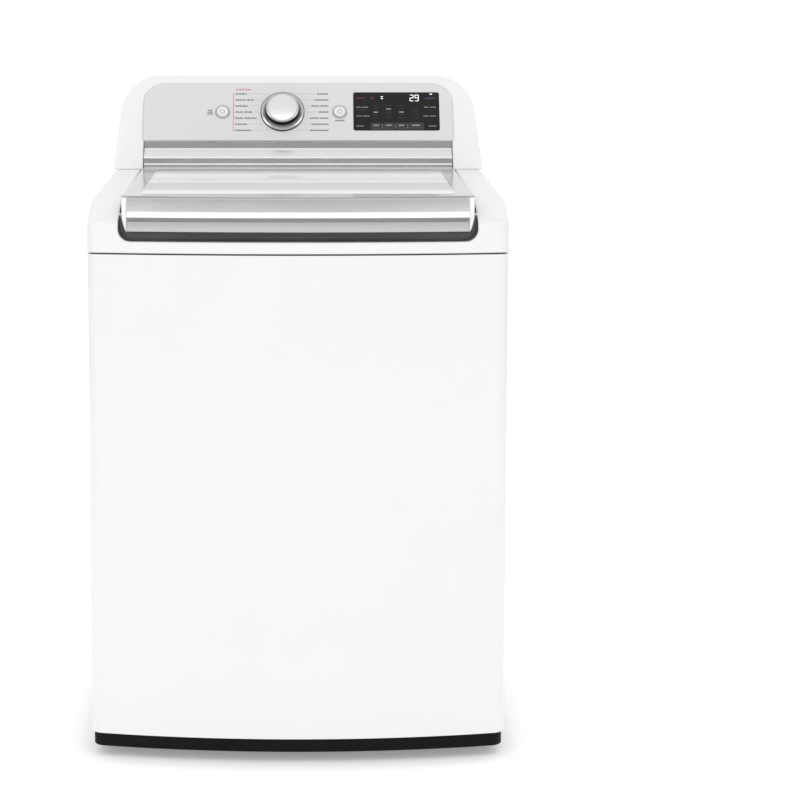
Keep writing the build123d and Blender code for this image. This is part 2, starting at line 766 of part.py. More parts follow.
def make_buttons():
    """Two round push buttons, each with a ring round it and a switch behind it."""
    for name, place in BUTTON_PLACES.items():
        with BuildPart() as button:
            with BuildSketch(panel_section_at(place)):
                with BuildLine():
                    Polyline(
                        (0, -5),
                        (BUTTON_RADIUS, -5),
                        (BUTTON_RADIUS, 1.6),
                        (BUTTON_RADIUS - 0.8, 2.4),
                        (BUTTON_RADIUS - 3, 2.1),
                        (4, 1.8),
                        (0, 1.8),
                        close=True,
                    )
                make_face()
            revolve(axis=Axis(panel_plane_at(place).origin, PANEL_PLANE.z_dir))
        save(button.part, name)
    with BuildPart() as bezels:
        with BuildSketch(PANEL_PLANE):
            with Locations(*BUTTON_PLACES.values()):
                Circle(14.2)
                Circle(BUTTON_RADIUS + 0.4, mode=Mode.SUBTRACT)
        extrude(amount=1.4)
        tops = bezels.faces().group_by(Axis(PANEL_PLANE.origin, PANEL_PLANE.z_dir))[-1]
        chamfer(tops.edges(), 0.5)
    save(bezels.part, "button_bezels")


def make_control_boards():
    """Main board and display board behind the panel, with connectors and a heat sink."""
    back = -PANEL_THICKNESS - 8
    display_x, display_v = DISPLAY_PLACE
    with BuildPart() as boards:
        with BuildSketch(PANEL_PLANE.offset(back - 1.6)):
            with Locations((-70, 63)):
                Rectangle(250, 84)
            with Locations((display_x, display_v)):
                Rectangle(150, 76)
            with Locations((60, 63)):
                Rectangle(90, 30)
            with Locations(KNOB_PLACE):
                Circle(5, mode=Mode.SUBTRACT)
        extrude(amount=1.6)
        with BuildSketch(PANEL_PLANE.offset(back - 1.6)):
            with Locations((-150, 40), (-110, 40), (-70, 36), (160, 40), (210, 40)):
                Rectangle(26, 10)
            with Locations((-90, 82)):
                Rectangle(40, 18)
        extrude(amount=-12)
        with BuildSketch(PANEL_PLANE.offset(back)):
            with Locations((display_x - 55, display_v), (display_x + 55, display_v)):
                Rectangle(12, 5)
        extrude(amount=8 + PANEL_THICKNESS - 2)
    save(boards.part, "control_boards")
    with BuildPart() as switches:
        with BuildSketch(PANEL_PLANE.offset(back)):
            with Locations(*BUTTON_PLACES.values()):
                RectangleRounded(12, 12, 1)
        extrude(amount=4)
        with BuildSketch(PANEL_PLANE.offset(back + 4)):
            with Locations(*BUTTON_PLACES.values()):
                Circle(3)
        extrude(amount=3)
        with BuildSketch(panel_plane_at(KNOB_PLACE, back - 8)):
            RectangleRounded(22, 22, 2)
        extrude(amount=6.4)
        with BuildSketch(panel_plane_at(KNOB_PLACE, back - 8)):
            Circle(3.5)
        extrude(amount=10, mode=Mode.SUBTRACT)
    save(switches.part, "panel_switches")


TRIM_PROFILE = [  # depth and height from the panel's foot
    (3.0, -3.0),
    (3.0, -14.0),
    (1.0, -17.5),
    (-11.0, -29.0),
    (-12.5, -32.0),
    (-12.5, -41.5),
    (-14.5, -44.0),
    (-14.5, -52.0),
    (-9.0, -52.0),
    (-9.0, -33.0),
    (-7.0, -29.0),
    (5.0, -18.0),
    (8.0, -14.0),
    (8.0, -3.0),
]


def make_hinge_trim():
    """Moulded strip between the lid and the panel: a step, a sloping face and a lip."""
    with BuildPart() as trim:
        with BuildSketch(Plane.YZ):
            with BuildLine():
                Polyline(*[(PANEL_FOOT_Y + y, PANEL_FOOT_Z + z) for y, z in TRIM_PROFILE], close=True)
            make_face()
        extrude(amount=RECESS_HALF - 0.5, both=True)
    save(trim.part, "hinge_trim")


def make_console_rear_cover():
    """Sheet over the opening in the console's back, with cooling slots and four screws."""
    with BuildPart() as sheet:
        with BuildSketch(Plane.XZ.offset(-BACK_Y - SHEET)) as outline:
            with Locations((0, 1035)):
                RectangleRounded(560, 140, 10)
            for row in range(4):
                with Locations(*[(x, 1005 + 16 * row) for x in (-190, -150, -110, 110, 150, 190)]):
                    SlotOverall(30, 4, mode=Mode.SUBTRACT)
        extrude(amount=SHEET)
        with BuildSketch(Plane.XZ.offset(-BACK_Y - SHEET)):
            with Locations((-272, 975), (272, 975), (-272, 1095), (272, 1095)):
                RegularPolygon(4.5, 6)
        extrude(amount=-2.6)
    save(sheet.part, "console_rear_cover")


# ---- Drum ---------------------------------------------------------------------------------
def turned(profile):
    """Turns a section of radius and height round the drum's axis."""
    with BuildPart() as body:
        with BuildSketch(Plane(origin=(0, TUB_Y, 0), x_dir=(1, 0, 0), z_dir=(0, -1, 0))):
            with BuildLine():
                Polyline(*profile, close=True)
            make_face()
        revolve(axis=Axis((0, TUB_Y, 0), (0, 0, 1)))
    return body.part


EAR_Z = 250.0
SUMP_PLACE = (172.0, 60.0)
HUB_HOLE_RADIUS = 45.0


def make_outer_tub():
    """Water tub with a ribbed floor, a sump hole and four ears for the suspension rods."""
    inner = TUB_RADIUS - TUB_WALL
    with BuildPart() as tub:
        add(
            turned(
                [
                    (HUB_HOLE_RADIUS, TUB_FLOOR_Z),
                    (TUB_RADIUS, TUB_FLOOR_Z),
                    (TUB_RADIUS, TUB_TOP_Z - 6),
                    (TUB_RADIUS + 5, TUB_TOP_Z - 6),
                    (TUB_RADIUS + 5, TUB_TOP_Z),
                    (inner, TUB_TOP_Z),
                    (inner, TUB_FLOOR_Z + 5),
                    (HUB_HOLE_RADIUS, TUB_FLOOR_Z + 5),
                ]
            )
        )
        with BuildSketch(Plane.XY.offset(TUB_FLOOR_Z - 14)):
            with Locations((0, TUB_Y)):
                with PolarLocations(125, 12):
                    with Locations((83, 0)):
                        Rectangle(166, 4)
        extrude(amount=14)
        with BuildSketch(Plane.XY.offset(EAR_Z)):
            for x, y in ROD_PLACES:
                reach = math.hypot(x, y - TUB_Y)
                turn = math.degrees(math.atan2(y - TUB_Y, x))
                with Locations(Location((0, TUB_Y, 0), (0, 0, turn))):
                    with Locations(((inner + 2 + reach) / 2, 0)):
                        Rectangle(reach - inner - 2, 44)
                    with Locations((reach, 0)):
                        Circle(22)
        extrude(amount=8)
        with BuildSketch(Plane.XY.offset(EAR_Z - 1)):
            with Locations(*ROD_PLACES):
                Circle(7)
        extrude(amount=10, mode=Mode.SUBTRACT)
        with BuildSketch(Plane.XY.offset(TUB_FLOOR_Z - 20)):
            with Locations(SUMP_PLACE):
                Circle(15)
        extrude(amount=30, mode=Mode.SUBTRACT)
        with BuildSketch(Plane.XY.offset(TUB_FLOOR_Z - 18)):
            with Locations(SUMP_PLACE):
                Circle(18)
                Circle(15, mode=Mode.SUBTRACT)
        extrude(amount=18)
    save(tub.part, "outer_tub")

    ring = turned(
        [
            (240, TUB_TOP_Z + 5),
            (246, TUB_TOP_Z + 8),
            (TUB_RADIUS + 5, TUB_TOP_Z + 3),
            (TUB_RADIUS + 5, TUB_TOP_Z),
            (246, TUB_TOP_Z),
            (243, TUB_TOP_Z - 4),
            (240, TUB_TOP_Z - 4),
        ]
    )
    save(ring, "tub_ring")


def make_bearings():
    """Cast housing under the tub, its two bearings and the water seal."""
    housing = turned(
        [
            (31, 166),
            (74, 166),
            (74, 173),
            (44, 173),
            (44, TUB_FLOOR_Z - 22),
            (110, TUB_FLOOR_Z - 22),
            (110, TUB_FLOOR_Z - 14.5),
            (HUB_HOLE_RADIUS - 0.5, TUB_FLOOR_Z - 14.5),
            (HUB_HOLE_RADIUS, TUB_FLOOR_Z - 12),
            (HUB_HOLE_RADIUS, TUB_FLOOR_Z + 4),
            (31, TUB_FLOOR_Z + 4),
        ]
    )
    with BuildPart() as lower:
        add(housing)
        with BuildSketch(Plane.XY.offset(173)):
            with Locations((0, TUB_Y)):
                with PolarLocations(0, 6):
                    with Locations((57, 0)):
                        Rectangle(30, 5)
        extrude(amount=TUB_FLOOR_Z - 22 - 173)
        with BuildSketch(Plane.XY.offset(TUB_FLOOR_Z - 14.5)):
            with Locations((0, TUB_Y)):
                with PolarLocations(100, 6, start_angle=15):
                    Circle(6)
        extrude(amount=14.5)
    save(lower.part, "bearing_housing")
    bore = SPIN_TUBE_RADIUS + RUNNING
    with BuildPart() as bearings:
        for z in (168, 206):
            with BuildSketch(Plane.XY.offset(z)):
                with Locations((0, TUB_Y)):
                    Circle(31)
                    Circle(bore, mode=Mode.SUBTRACT)
            extrude(amount=14)
    save(bearings.part, "tub_bearings")
    with BuildPart() as seal:
        with BuildSketch(Plane.XY.offset(224)):
            with Locations((0, TUB_Y)):
                Circle(31)
                Circle(bore + 0.03, mode=Mode.SUBTRACT)
        extrude(amount=10)
    save(seal.part, "shaft_seal")


def make_motor():
    """Direct drive motor: a wound stator under the tub and a cup-shaped rotor round it."""
    with BuildPart() as stator:
        with BuildSketch(Plane.XY.offset(126)):
            with Locations((0, TUB_Y)):
                Circle(88)
                Circle(58, mode=Mode.SUBTRACT)
                with PolarLocations(106, 24):
                    Rectangle(44, 9)
                with PolarLocations(131, 24):
                    Rectangle(6, 24)
        extrude(amount=32)
        with BuildSketch(Plane.XY.offset(122)):
            with Locations((0, TUB_Y)):
                with PolarLocations(108, 24):
                    RectangleRounded(36, 17, 4)
        extrude(amount=40)
        with BuildSketch(Plane.XY.offset(158)):
            with Locations((0, TUB_Y)):
                Circle(72)
                Circle(58, mode=Mode.SUBTRACT)
        extrude(amount=8)
    save(stator.part, "motor_stator")
    with BuildPart() as rotor:
        add(
            turned(
                [
                    (SHAFT_RADIUS, 106),
                    (140, 106),
                    (146, 112),
                    (146, 166),
                    (140, 166),
                    (140, 116),
                    (136, 112),
                    (26, 112),
                    (22, 130),
                    (SHAFT_RADIUS, 130),
                ]
            )
        )
        with BuildSketch(Plane.XY.offset(100)):
            with Locations((0, TUB_Y)):
                with PolarLocations(85, 12):
                    SlotOverall(60, 16)
        extrude(amount=20, mode=Mode.SUBTRACT)
    save(rotor.part, "motor_rotor")
    shaft = turned([(0, 100), (SHAFT_RADIUS, 100), (SHAFT_RADIUS, 300), (0, 300)])
    save(shaft, "drive_shaft")
    tube = turned(
        [
            (SHAFT_RADIUS + RUNNING, 150),
            (SPIN_TUBE_RADIUS, 150),
            (SPIN_TUBE_RADIUS, BASKET_FLOOR_Z),
            (SHAFT_RADIUS + RUNNING, BASKET_FLOOR_Z),
        ]
    )
    save(tube, "spin_tube")


def make_basket():
    """Steel basket, the spider that carries it and the balance ring round its rim."""
    inner = BASKET_RADIUS - 1.0
    basket = turned(
        [
            (60, BASKET_FLOOR_Z),
            (BASKET_RADIUS - 14, BASKET_FLOOR_Z),
            (BASKET_RADIUS, BASKET_FLOOR_Z + 14),
            (BASKET_RADIUS, BASKET_TOP_Z),
            (inner, BASKET_TOP_Z),
            (inner, BASKET_FLOOR_Z + 14.4),
            (BASKET_RADIUS - 14.4, BASKET_FLOOR_Z + 1.0),
            (60, BASKET_FLOOR_Z + 1.0),
        ]
    )
    save(basket, "basket")
    with BuildPart() as hub:
        add(
            turned(
                [
                    (SPIN_TUBE_RADIUS, 246),
                    (40, 246),
                    (70, 256),
                    (70, BASKET_FLOOR_Z),
                    (SPIN_TUBE_RADIUS, BASKET_FLOOR_Z),
                ]
            )
        )
        with BuildSketch(Plane.XY.offset(252)):
            with Locations((0, TUB_Y)):
                with PolarLocations(0, 6):
                    with Locations((140, 0)):
                        Rectangle(180, 26)
        extrude(amount=BASKET_FLOOR_Z - 252)
    save(hub.part, "basket_hub")
    ring = turned(
        [
            (inner - 28, BASKET_TOP_Z - 12),
            (inner, BASKET_TOP_Z - 12),
            (inner, BASKET_TOP_Z),
            (BASKET_RADIUS + 7, BASKET_TOP_Z),
            (BASKET_RADIUS + 7, BASKET_TOP_Z + 34),
            (BASKET_RADIUS + 3, BASKET_TOP_Z + 40),
            (inner - 22, BASKET_TOP_Z + 40),
            (inner - 28, BASKET_TOP_Z + 32),
        ]
    )
    save(ring, "balance_ring")


def make_pulsator():
    """Wash plate with six curved vanes and a cap over its screw."""
    with BuildPart() as plate:
        add(
            turned(
                [
                    (SHAFT_RADIUS, 270),
                    (228, 270),
                    (234, 276),
                    (232, 280),
                    (190, 280),
                    (120, 286),
                    (60, 300),
                    (44, 306),
                    (SHAFT_RADIUS, 306),
                ]
            )
        )
        with BuildSketch(Plane.XY.offset(278)):
            with Locations((0, TUB_Y)):
                with PolarLocations(0, 6):
                    with Locations((125, 0)):
                        SlotOverall(180, 26)
        extrude(amount=36, taper=12)
    save(plate.part, "pulsator")
    with BuildPart() as cap:
        with BuildSketch(Plane.XY.offset(306)):
            with Locations((0, TUB_Y)):
                Circle(30)
        extrude(amount=14)
        fillet(cap.faces().sort_by(Axis.Z)[-1].edges(), 8)
    save(cap.part, "pulsator_cap")


# ---- Suspension ---------------------------------------------------------------------------
SPRING_BOTTOM_Z = 130.0
SPRING_TOP_Z = 236.0
SPRING_RADIUS = 14.5
SPRING_WIRE = 1.8
BRACKET_Z = 790.0


def make_suspension():
    """Four hangers: a bracket in each corner, a rod, a spring round it and a cup."""
    with BuildPart() as brackets:
        for x, y in ROD_PLACES:
            side = 1 if x > 0 else -1
            wall_x = side * (HALF - SHEET)
            with BuildSketch(Plane.XY.offset(BRACKET_Z)):
                with Locations(((wall_x + x - side * 22) / 2, y)):
                    Rectangle(abs(wall_x - x + side * 22), 64)
                with Locations((x, y)):
                    Circle(6, mode=Mode.SUBTRACT)
            extrude(amount=3)
            with BuildSketch(Plane.XY.offset(BRACKET_Z - 50)):
                with Locations((wall_x - side * 1.5, y)):
                    Rectangle(3, 64)
                with Locations(((wall_x + x) / 2, y - 30.5), ((wall_x + x) / 2, y + 30.5)):
                    Rectangle(abs(wall_x - x) - 10, 3)
            extrude(amount=50)
    save(brackets.part, "suspension_brackets")
    with BuildPart() as rods:
        with BuildSketch(Plane.XY.offset(SPRING_BOTTOM_Z)):
            with Locations(*ROD_PLACES):
                Circle(ROD_RADIUS)
        extrude(amount=BRACKET_Z + 3 - SPRING_BOTTOM_Z)
        with BuildSketch(Plane.XY.offset(SPRING_BOTTOM_Z - 4)):
            with Locations(*ROD_PLACES):
                Circle(18)
        extrude(amount=4)
        with BuildSketch(Plane.XY.offset(SPRING_BOTTOM_Z - 10)):
            with Locations(*ROD_PLACES):
                RegularPolygon(8, 6)
        extrude(amount=6)
        with Locations(*[(x, y, BRACKET_Z + 10) for x, y in ROD_PLACES]):
            Cylinder(12, 14)
    save(rods.part, "suspension_rods")
    with BuildPart() as cups:
        with BuildSketch(Plane.XY.offset(SPRING_TOP_Z)):
            with Locations(*ROD_PLACES):
                Circle(20)
                Circle(5, mode=Mode.SUBTRACT)
        extrude(amount=EAR_Z - SPRING_TOP_Z)
        with BuildSketch(Plane.XY.offset(SPRING_TOP_Z - 14)):
            with Locations(*ROD_PLACES):
                Circle(20)
                Circle(17.6, mode=Mode.SUBTRACT)
        extrude(amount=14)
    save(cups.part, "suspension_cups")
    height = SPRING_TOP_Z - SPRING_BOTTOM_Z - 2 * SPRING_WIRE
    with BuildPart() as springs:
        for x, y in ROD_PLACES:
            foot = SPRING_BOTTOM_Z + SPRING_WIRE
            with BuildLine():
                coil = Helix(pitch=height / 9, height=height, radius=SPRING_RADIUS, center=(x, y, foot))
            with BuildSketch(Plane(origin=coil @ 0, z_dir=coil % 0)):
                Circle(SPRING_WIRE)
            sweep(path=coil)
    save(springs.part, "suspension_springs")


# ---- Water system -------------------------------------------------------------------------
HOUSING_LEFT = DRAWER_X - DRAWER_WIDTH / 2 - 5
HOUSING_RIGHT = DRAWER_X + DRAWER_WIDTH / 2 + 5
HOUSING_REAR_Y = 328.0


def make_dispenser():
    """Pull-out detergent drawer with three compartments, and the box it slides in."""
    middle_z = (DRAWER_LOW_Z + DRAWER_HIGH_Z) / 2
    length = 320 - MOUTH_REAR_Y
    with BuildPart() as housing:
        with Locations((DRAWER_X, (MOUTH_REAR_Y + WALL + HOUSING_REAR_Y) / 2, middle_z)):
            Box(DRAWER_WIDTH + 10, HOUSING_REAR_Y - MOUTH_REAR_Y - WALL, 50)
            Box(DRAWER_WIDTH + 4, HOUSING_REAR_Y - MOUTH_REAR_Y - WALL, 44, mode=Mode.SUBTRACT)
        with Locations((DRAWER_X, HOUSING_REAR_Y - 1.5, middle_z)):
            Box(DRAWER_WIDTH + 10, 3, 50)
    save(housing.part, "dispenser_housing")
    with BuildPart() as drawer:
        with Locations((DRAWER_X, MOUTH_REAR_Y + length / 2, middle_z - 2)):
            Box(DRAWER_WIDTH - 4, length, 34)
        for x, width in ((-44, 36), (0, 44), (44, 36)):
            with Locations((DRAWER_X + x, MOUTH_REAR_Y + length / 2 + 2, middle_z)):
                Box(width, length - 14, 34, mode=Mode.SUBTRACT)
        with Locations((DRAWER_X, MOUTH_REAR_Y - 1.5, middle_z)):
            Box(DRAWER_WIDTH, 5, 40)
        with BuildSketch(Plane.XZ.offset(-MOUTH_REAR_Y + 4)):
            with Locations((DRAWER_X, DRAWER_LOW_Z + 5)):
                RectangleRounded(60, 8, 3)
        extrude(amount=4)
    save(drawer.part, "dispenser_drawer")


def make_lid_lock():
    """Housing under the well's floor, and the bolt that slides forward through the striker."""
    top_front = well_floor_z(-244.5) - WALL
    top_rear = well_floor_z(-205) - WALL
    with BuildPart() as housing:
        with BuildSketch(Plane.YZ.offset(LOCK_X - 17)):
            with BuildLine():
                Polyline((-244.5, 872), (-205, 872), (-205, top_rear), (-244.5, top_front), close=True)
            make_face()
        extrude(amount=35)
        with Locations((LOCK_X, -225, 888)):
            Box(6.8, 60, 6.8, mode=Mode.SUBTRACT)
    save(housing.part, "lid_lock_housing")
    with BuildPart() as bolt:
        with Locations((LOCK_X, -230, 888)):
            Box(6, 30, 6)
        chamfer(bolt.faces().sort_by(Axis.Y)[0].edges(), 0.8)
    save(bolt.part, "lid_lock_bolt")


def make_inlet_valve():
    """Double water valve with two threaded ports through the back and two solenoids."""
    with BuildPart() as valve:
        with Locations((142.5, 314, 905)):
            Box(110, 30, 46)
        for x in (118, 167):
            with Locations((x, 286, 905)):
                Box(26, 26, 34)
        with Locations((80, 314, 905)):
            Cylinder(8, 16, rotation=(0, 90, 0))
        for x, z in INLET_PLACES.values():
            with BuildSketch(Plane.XZ.offset(-329)):
                with Locations((x, z)):
                    Circle(13.3)
                    Circle(8, mode=Mode.SUBTRACT)
            extrude(amount=329 - REAR_Y)
            with BuildSketch(Plane.XZ.offset(-REAR_Y)):
                with Locations((x, z)):
                    Circle(8)
            extrude(amount=40, mode=Mode.SUBTRACT)
            with BuildSketch(Plane.XZ.offset(-329)):
                with Locations((x, z)):
                    RegularPolygon(17, 6)
                    Circle(13.3, mode=Mode.SUBTRACT)
            extrude(amount=-10)
    save(valve.part, "inlet_valve")
    tube([(72, 314, 905), (45, 314, 905), (25, 300, 895), (HOUSING_RIGHT, 300, 895)], 6.5, 5, 12, "fill_hose")


def tube(points, radius, bore, bend, name):
    """Hollow hose along straight runs joined by round bends."""
    with BuildPart() as hose:
        with BuildLine() as route:
            FilletPolyline(*points, radius=bend)
        with BuildSketch(Plane(origin=route.line @ 0, z_dir=route.line % 0)):
            Circle(radius)
            Circle(bore, mode=Mode.SUBTRACT)
        sweep()
    save(hose.part, name)


PUMP_PLACE = (262.0, 60.0)
PUMP_BASE_Z = 44.0


def make_drain():
    """Drain pump on the base, its impeller, the hoses and the port through the rear panel."""
    x, y = PUMP_PLACE
    port_x, port_z = DRAIN_PORT_PLACE
    with BuildPart() as pump:
        with BuildSketch(Plane.XY.offset(PUMP_BASE_Z)):
            with Locations((x, y)):
                RectangleRounded(76, 76, 10)
        extrude(amount=4)
        with BuildSketch(Plane.XY.offset(PUMP_BASE_Z + 4)):
            with Locations((x, y)):
                Circle(26)
        extrude(amount=26)
        with BuildSketch(Plane.XY.offset(PUMP_BASE_Z + 30)):
            with Locations((x, y)):
                Circle(34)
        extrude(amount=36)
        with BuildSketch(Plane.XY.offset(PUMP_BASE_Z + 66)):
            with Locations((x, y)):
                Circle(14)
        extrude(amount=14)
        with BuildSketch(Plane.XY.offset(PUMP_BASE_Z + 60)):
            with Locations((x, y)):
                Circle(11)
        extrude(amount=30, mode=Mode.SUBTRACT)
        with BuildSketch(Plane.XZ.offset(-y - 50)):
            with Locations((x + 16, PUMP_BASE_Z + 48)):
                Circle(11)
        extrude(amount=30)
        with BuildSketch(Plane.XY.offset(PUMP_BASE_Z + 34)):
            with Locations((x, y)):
                Circle(30)
        extrude(amount=29, mode=Mode.SUBTRACT)
        with BuildSketch(Plane.XZ.offset(-y - 51)):
            with Locations((x + 16, PUMP_BASE_Z + 48)):
                Circle(8.5)
        extrude(amount=40, mode=Mode.SUBTRACT)
        with BuildSketch(Plane.XY.offset(PUMP_BASE_Z + 20)):
            with Locations((x, y)):
                Circle(3)
        extrude(amount=30, mode=Mode.SUBTRACT)
    save(pump.part, "drain_pump")
    with BuildPart() as impeller:
        with BuildSketch(Plane.XY.offset(PUMP_BASE_Z + 36)):
            with Locations((x, y)):
                Circle(10)
        extrude(amount=16)
        with BuildSketch(Plane.XY.offset(PUMP_BASE_Z + 38)):
            with Locations((x, y)):
                with PolarLocations(16, 4):
                    Rectangle(16, 2.4)
        extrude(amount=14)
        with BuildSketch(Plane.XY.offset(PUMP_BASE_Z + 22)):
            with Locations((x, y)):
                Circle(3 - RUNNING)
        extrude(amount=14)
    save(impeller.part, "pump_impeller")
    outlet = (x + 16, y + 50, PUMP_BASE_Z + 48)
    tube(
        [
            outlet,
            (x + 16, y + 110, outlet[2]),
            (port_x, 300, outlet[2]),
            (port_x, 300, port_z),
            (port_x, 326, port_z),
        ],
        11,
        8.5,
        22,
        "drain_hose",
    )
    with BuildPart() as port:
        with BuildSketch(Plane.XZ.offset(-326)):
            with Locations((port_x, port_z)):
                Circle(15.5)
                Circle(12, mode=Mode.SUBTRACT)
        extrude(amount=326 - 358)
        with BuildSketch(Plane.XZ.offset(-326)):
            with Locations((port_x, port_z)):
                Circle(15.5)
                Circle(8.5, mode=Mode.SUBTRACT)
        extrude(amount=-3)
        with BuildSketch(Plane.XZ.offset(-BACK_Y - SHEET)):
            with Locations((port_x, port_z)):
                Circle(24)
                Circle(15.5, mode=Mode.SUBTRACT)
        extrude(amount=-3)
    save(port.part, "drain_port")
    sump_x, sump_y = SUMP_PLACE
    tube(
        [
            (sump_x, sump_y, TUB_FLOOR_Z - 18),
            (sump_x, sump_y, 178),
            (x, y, 160),
            (x, y, PUMP_BASE_Z + 80),
        ],
        13,
        11,
        16,
        "sump_hose",
    )


def make_cord_gland():
    """Round strain relief in the rear panel where the mains cord would leave."""
    x, z = CORD_GLAND_PLACE
    with BuildPart() as gland:
        with BuildSketch(Plane.XZ.offset(-BACK_Y + 8)):
            with Locations((x, z)):
                Circle(11.2)
                Circle(5, mode=Mode.SUBTRACT)
        extrude(amount=-8 - SHEET - 12)
        with BuildSketch(Plane.XZ.offset(-BACK_Y - SHEET)):
            with Locations((x, z)):
                Circle(16)
                Circle(11.2, mode=Mode.SUBTRACT)
        extrude(amount=-3)
        with BuildSketch(Plane.XZ.offset(-BACK_Y)):
            with Locations((x, z)):
                RegularPolygon(17, 6)
                Circle(11.2, mode=Mode.SUBTRACT)
        extrude(amount=6)
    save(gland.part, "cord_gland")


if __name__ == "__main__":
    make_cabinet_shell()
    make_rear_panel()
    make_rear_panel_screws()
    make_base_frame()
    make_plinth()
    make_feet()
    make_top_cover()
    make_lid()
    make_hinge_brackets()
    make_console_housing()
    make_control_panel()
    make_display_glass()
    make_knob()
    make_buttons()
    make_control_boards()
    make_hinge_trim()
    make_console_rear_cover()
    make_outer_tub()
    make_bearings()
    make_motor()
    make_basket()
    make_pulsator()
    make_suspension()
    make_dispenser()
    make_lid_lock()
    make_inlet_valve()
    make_drain()
    make_cord_gland()
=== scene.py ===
"""Looks for the top load washing machine: materials, printed marks, studio and camera."""

import math

import bmesh
import bpy
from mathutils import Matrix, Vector


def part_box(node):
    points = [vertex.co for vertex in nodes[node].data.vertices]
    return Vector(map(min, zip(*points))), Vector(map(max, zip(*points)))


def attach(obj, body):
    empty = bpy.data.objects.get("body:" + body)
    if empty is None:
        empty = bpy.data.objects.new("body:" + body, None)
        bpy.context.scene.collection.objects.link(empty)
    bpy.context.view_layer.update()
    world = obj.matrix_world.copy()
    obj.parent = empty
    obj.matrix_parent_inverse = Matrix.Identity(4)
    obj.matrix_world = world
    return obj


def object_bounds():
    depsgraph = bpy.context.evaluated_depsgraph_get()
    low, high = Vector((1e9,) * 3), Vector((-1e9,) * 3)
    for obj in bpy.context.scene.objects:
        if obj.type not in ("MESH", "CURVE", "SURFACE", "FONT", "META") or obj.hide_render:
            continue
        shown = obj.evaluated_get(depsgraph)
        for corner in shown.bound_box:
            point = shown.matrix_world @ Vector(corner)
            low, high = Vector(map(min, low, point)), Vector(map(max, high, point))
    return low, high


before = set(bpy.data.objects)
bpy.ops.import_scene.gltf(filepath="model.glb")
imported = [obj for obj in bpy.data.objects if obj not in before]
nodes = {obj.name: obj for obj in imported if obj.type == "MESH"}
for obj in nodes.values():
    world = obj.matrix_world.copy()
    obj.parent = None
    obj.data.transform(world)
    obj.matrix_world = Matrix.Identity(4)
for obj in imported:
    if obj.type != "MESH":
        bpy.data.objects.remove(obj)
cad_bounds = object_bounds()
scene = bpy.context.scene


# ---- Node helpers -------------------------------------------------------------------------
class Graph:
    """A material's node tree with short ways to add and join nodes."""

    def __init__(self, name):
        self.material = bpy.data.materials.new(name)
        self.material.use_nodes = True
        self.tree = self.material.node_tree
        self.shader = self.tree.nodes["Principled BSDF"]

    def add(self, kind, **values):
        node = self.tree.nodes.new(kind)
        for key, value in values.items():
            setattr(node, key, value)
        return node

    def set(self, **values):
        """Sets the shader's own sockets, named with underscores for spaces."""
        for key, value in values.items():
            self.shader.inputs[key.replace("_", " ")].default_value = value

    def join(self, source, target):
        self.tree.links.new(source, target)

    def place(self, scale=(1, 1, 1)):
        """Object coordinates in metres, stretched by scale."""
        where = self.add("ShaderNodeTexCoord")
        mapping = self.add("ShaderNodeMapping")
        mapping.inputs["Scale"].default_value = scale
        self.join(where.outputs["Object"], mapping.inputs["Vector"])
        return mapping.outputs["Vector"]

    def along(self, axis):
        """One object coordinate, in metres."""
        where = self.add("ShaderNodeTexCoord")
        parts = self.add("ShaderNodeSeparateXYZ")
        self.join(where.outputs["Object"], parts.inputs[0])
        return parts.outputs[axis]

    def noise(self, scale, detail=2.0, stretch=(1, 1, 1)):
        node = self.add("ShaderNodeTexNoise")
        node.inputs["Scale"].default_value = scale
        node.inputs["Detail"].default_value = detail
        self.join(self.place(stretch), node.inputs["Vector"])
        return node.outputs["Fac"]

    def spread(self, value, low, high, start=0.3, end=0.7):
        """Maps a 0 to 1 value onto a range."""
        node = self.add("ShaderNodeMapRange")
        node.inputs["From Min"].default_value = start
        node.inputs["From Max"].default_value = end
        node.inputs["To Min"].default_value = low
        node.inputs["To Max"].default_value = high
        self.join(value, node.inputs["Value"])
        return node.outputs["Result"]

    def blend(self, value, first, second):
        """Colour between two, by a 0 to 1 value."""
        node = self.add("ShaderNodeMix", data_type="RGBA")
        for socket, colour in ((node.inputs[6], first), (node.inputs[7], second)):
            if isinstance(colour, (tuple, list)):
                socket.default_value = (*colour, 1)
            else:
                self.join(colour, socket)
        self.join(value, node.inputs[0])
        return node.outputs[2]

    def work_out(self, operation, *values):
        """A sum on values that are node outputs or plain numbers."""
        node = self.add("ShaderNodeMath", operation=operation)
        for socket, value in zip(node.inputs, values):
            if isinstance(value, (int, float)):
                socket.default_value = value
            else:
                self.join(value, socket)
        return node.outputs["Value"]

    def openness(self, reach):
        """How open a point is to what lies within a reach: 1 in the open, 0 in a crevice."""
        node = self.add("ShaderNodeAmbientOcclusion", samples=8)
        node.inputs["Distance"].default_value = reach
        return node.outputs["AO"]

    def relief(self, height, strength, depth=0.0005):
        """A bump raised by a value times depth, in metres."""
        bump = self.add("ShaderNodeBump")
        bump.inputs["Strength"].default_value = strength
        bump.inputs["Distance"].default_value = depth
        self.join(height, bump.inputs["Height"])
        self.join(bump.outputs["Normal"], self.shader.inputs["Normal"])
        return bump


GAP_REACH = 0.014  # how near a neighbour has to be for painted shade in a narrow gap
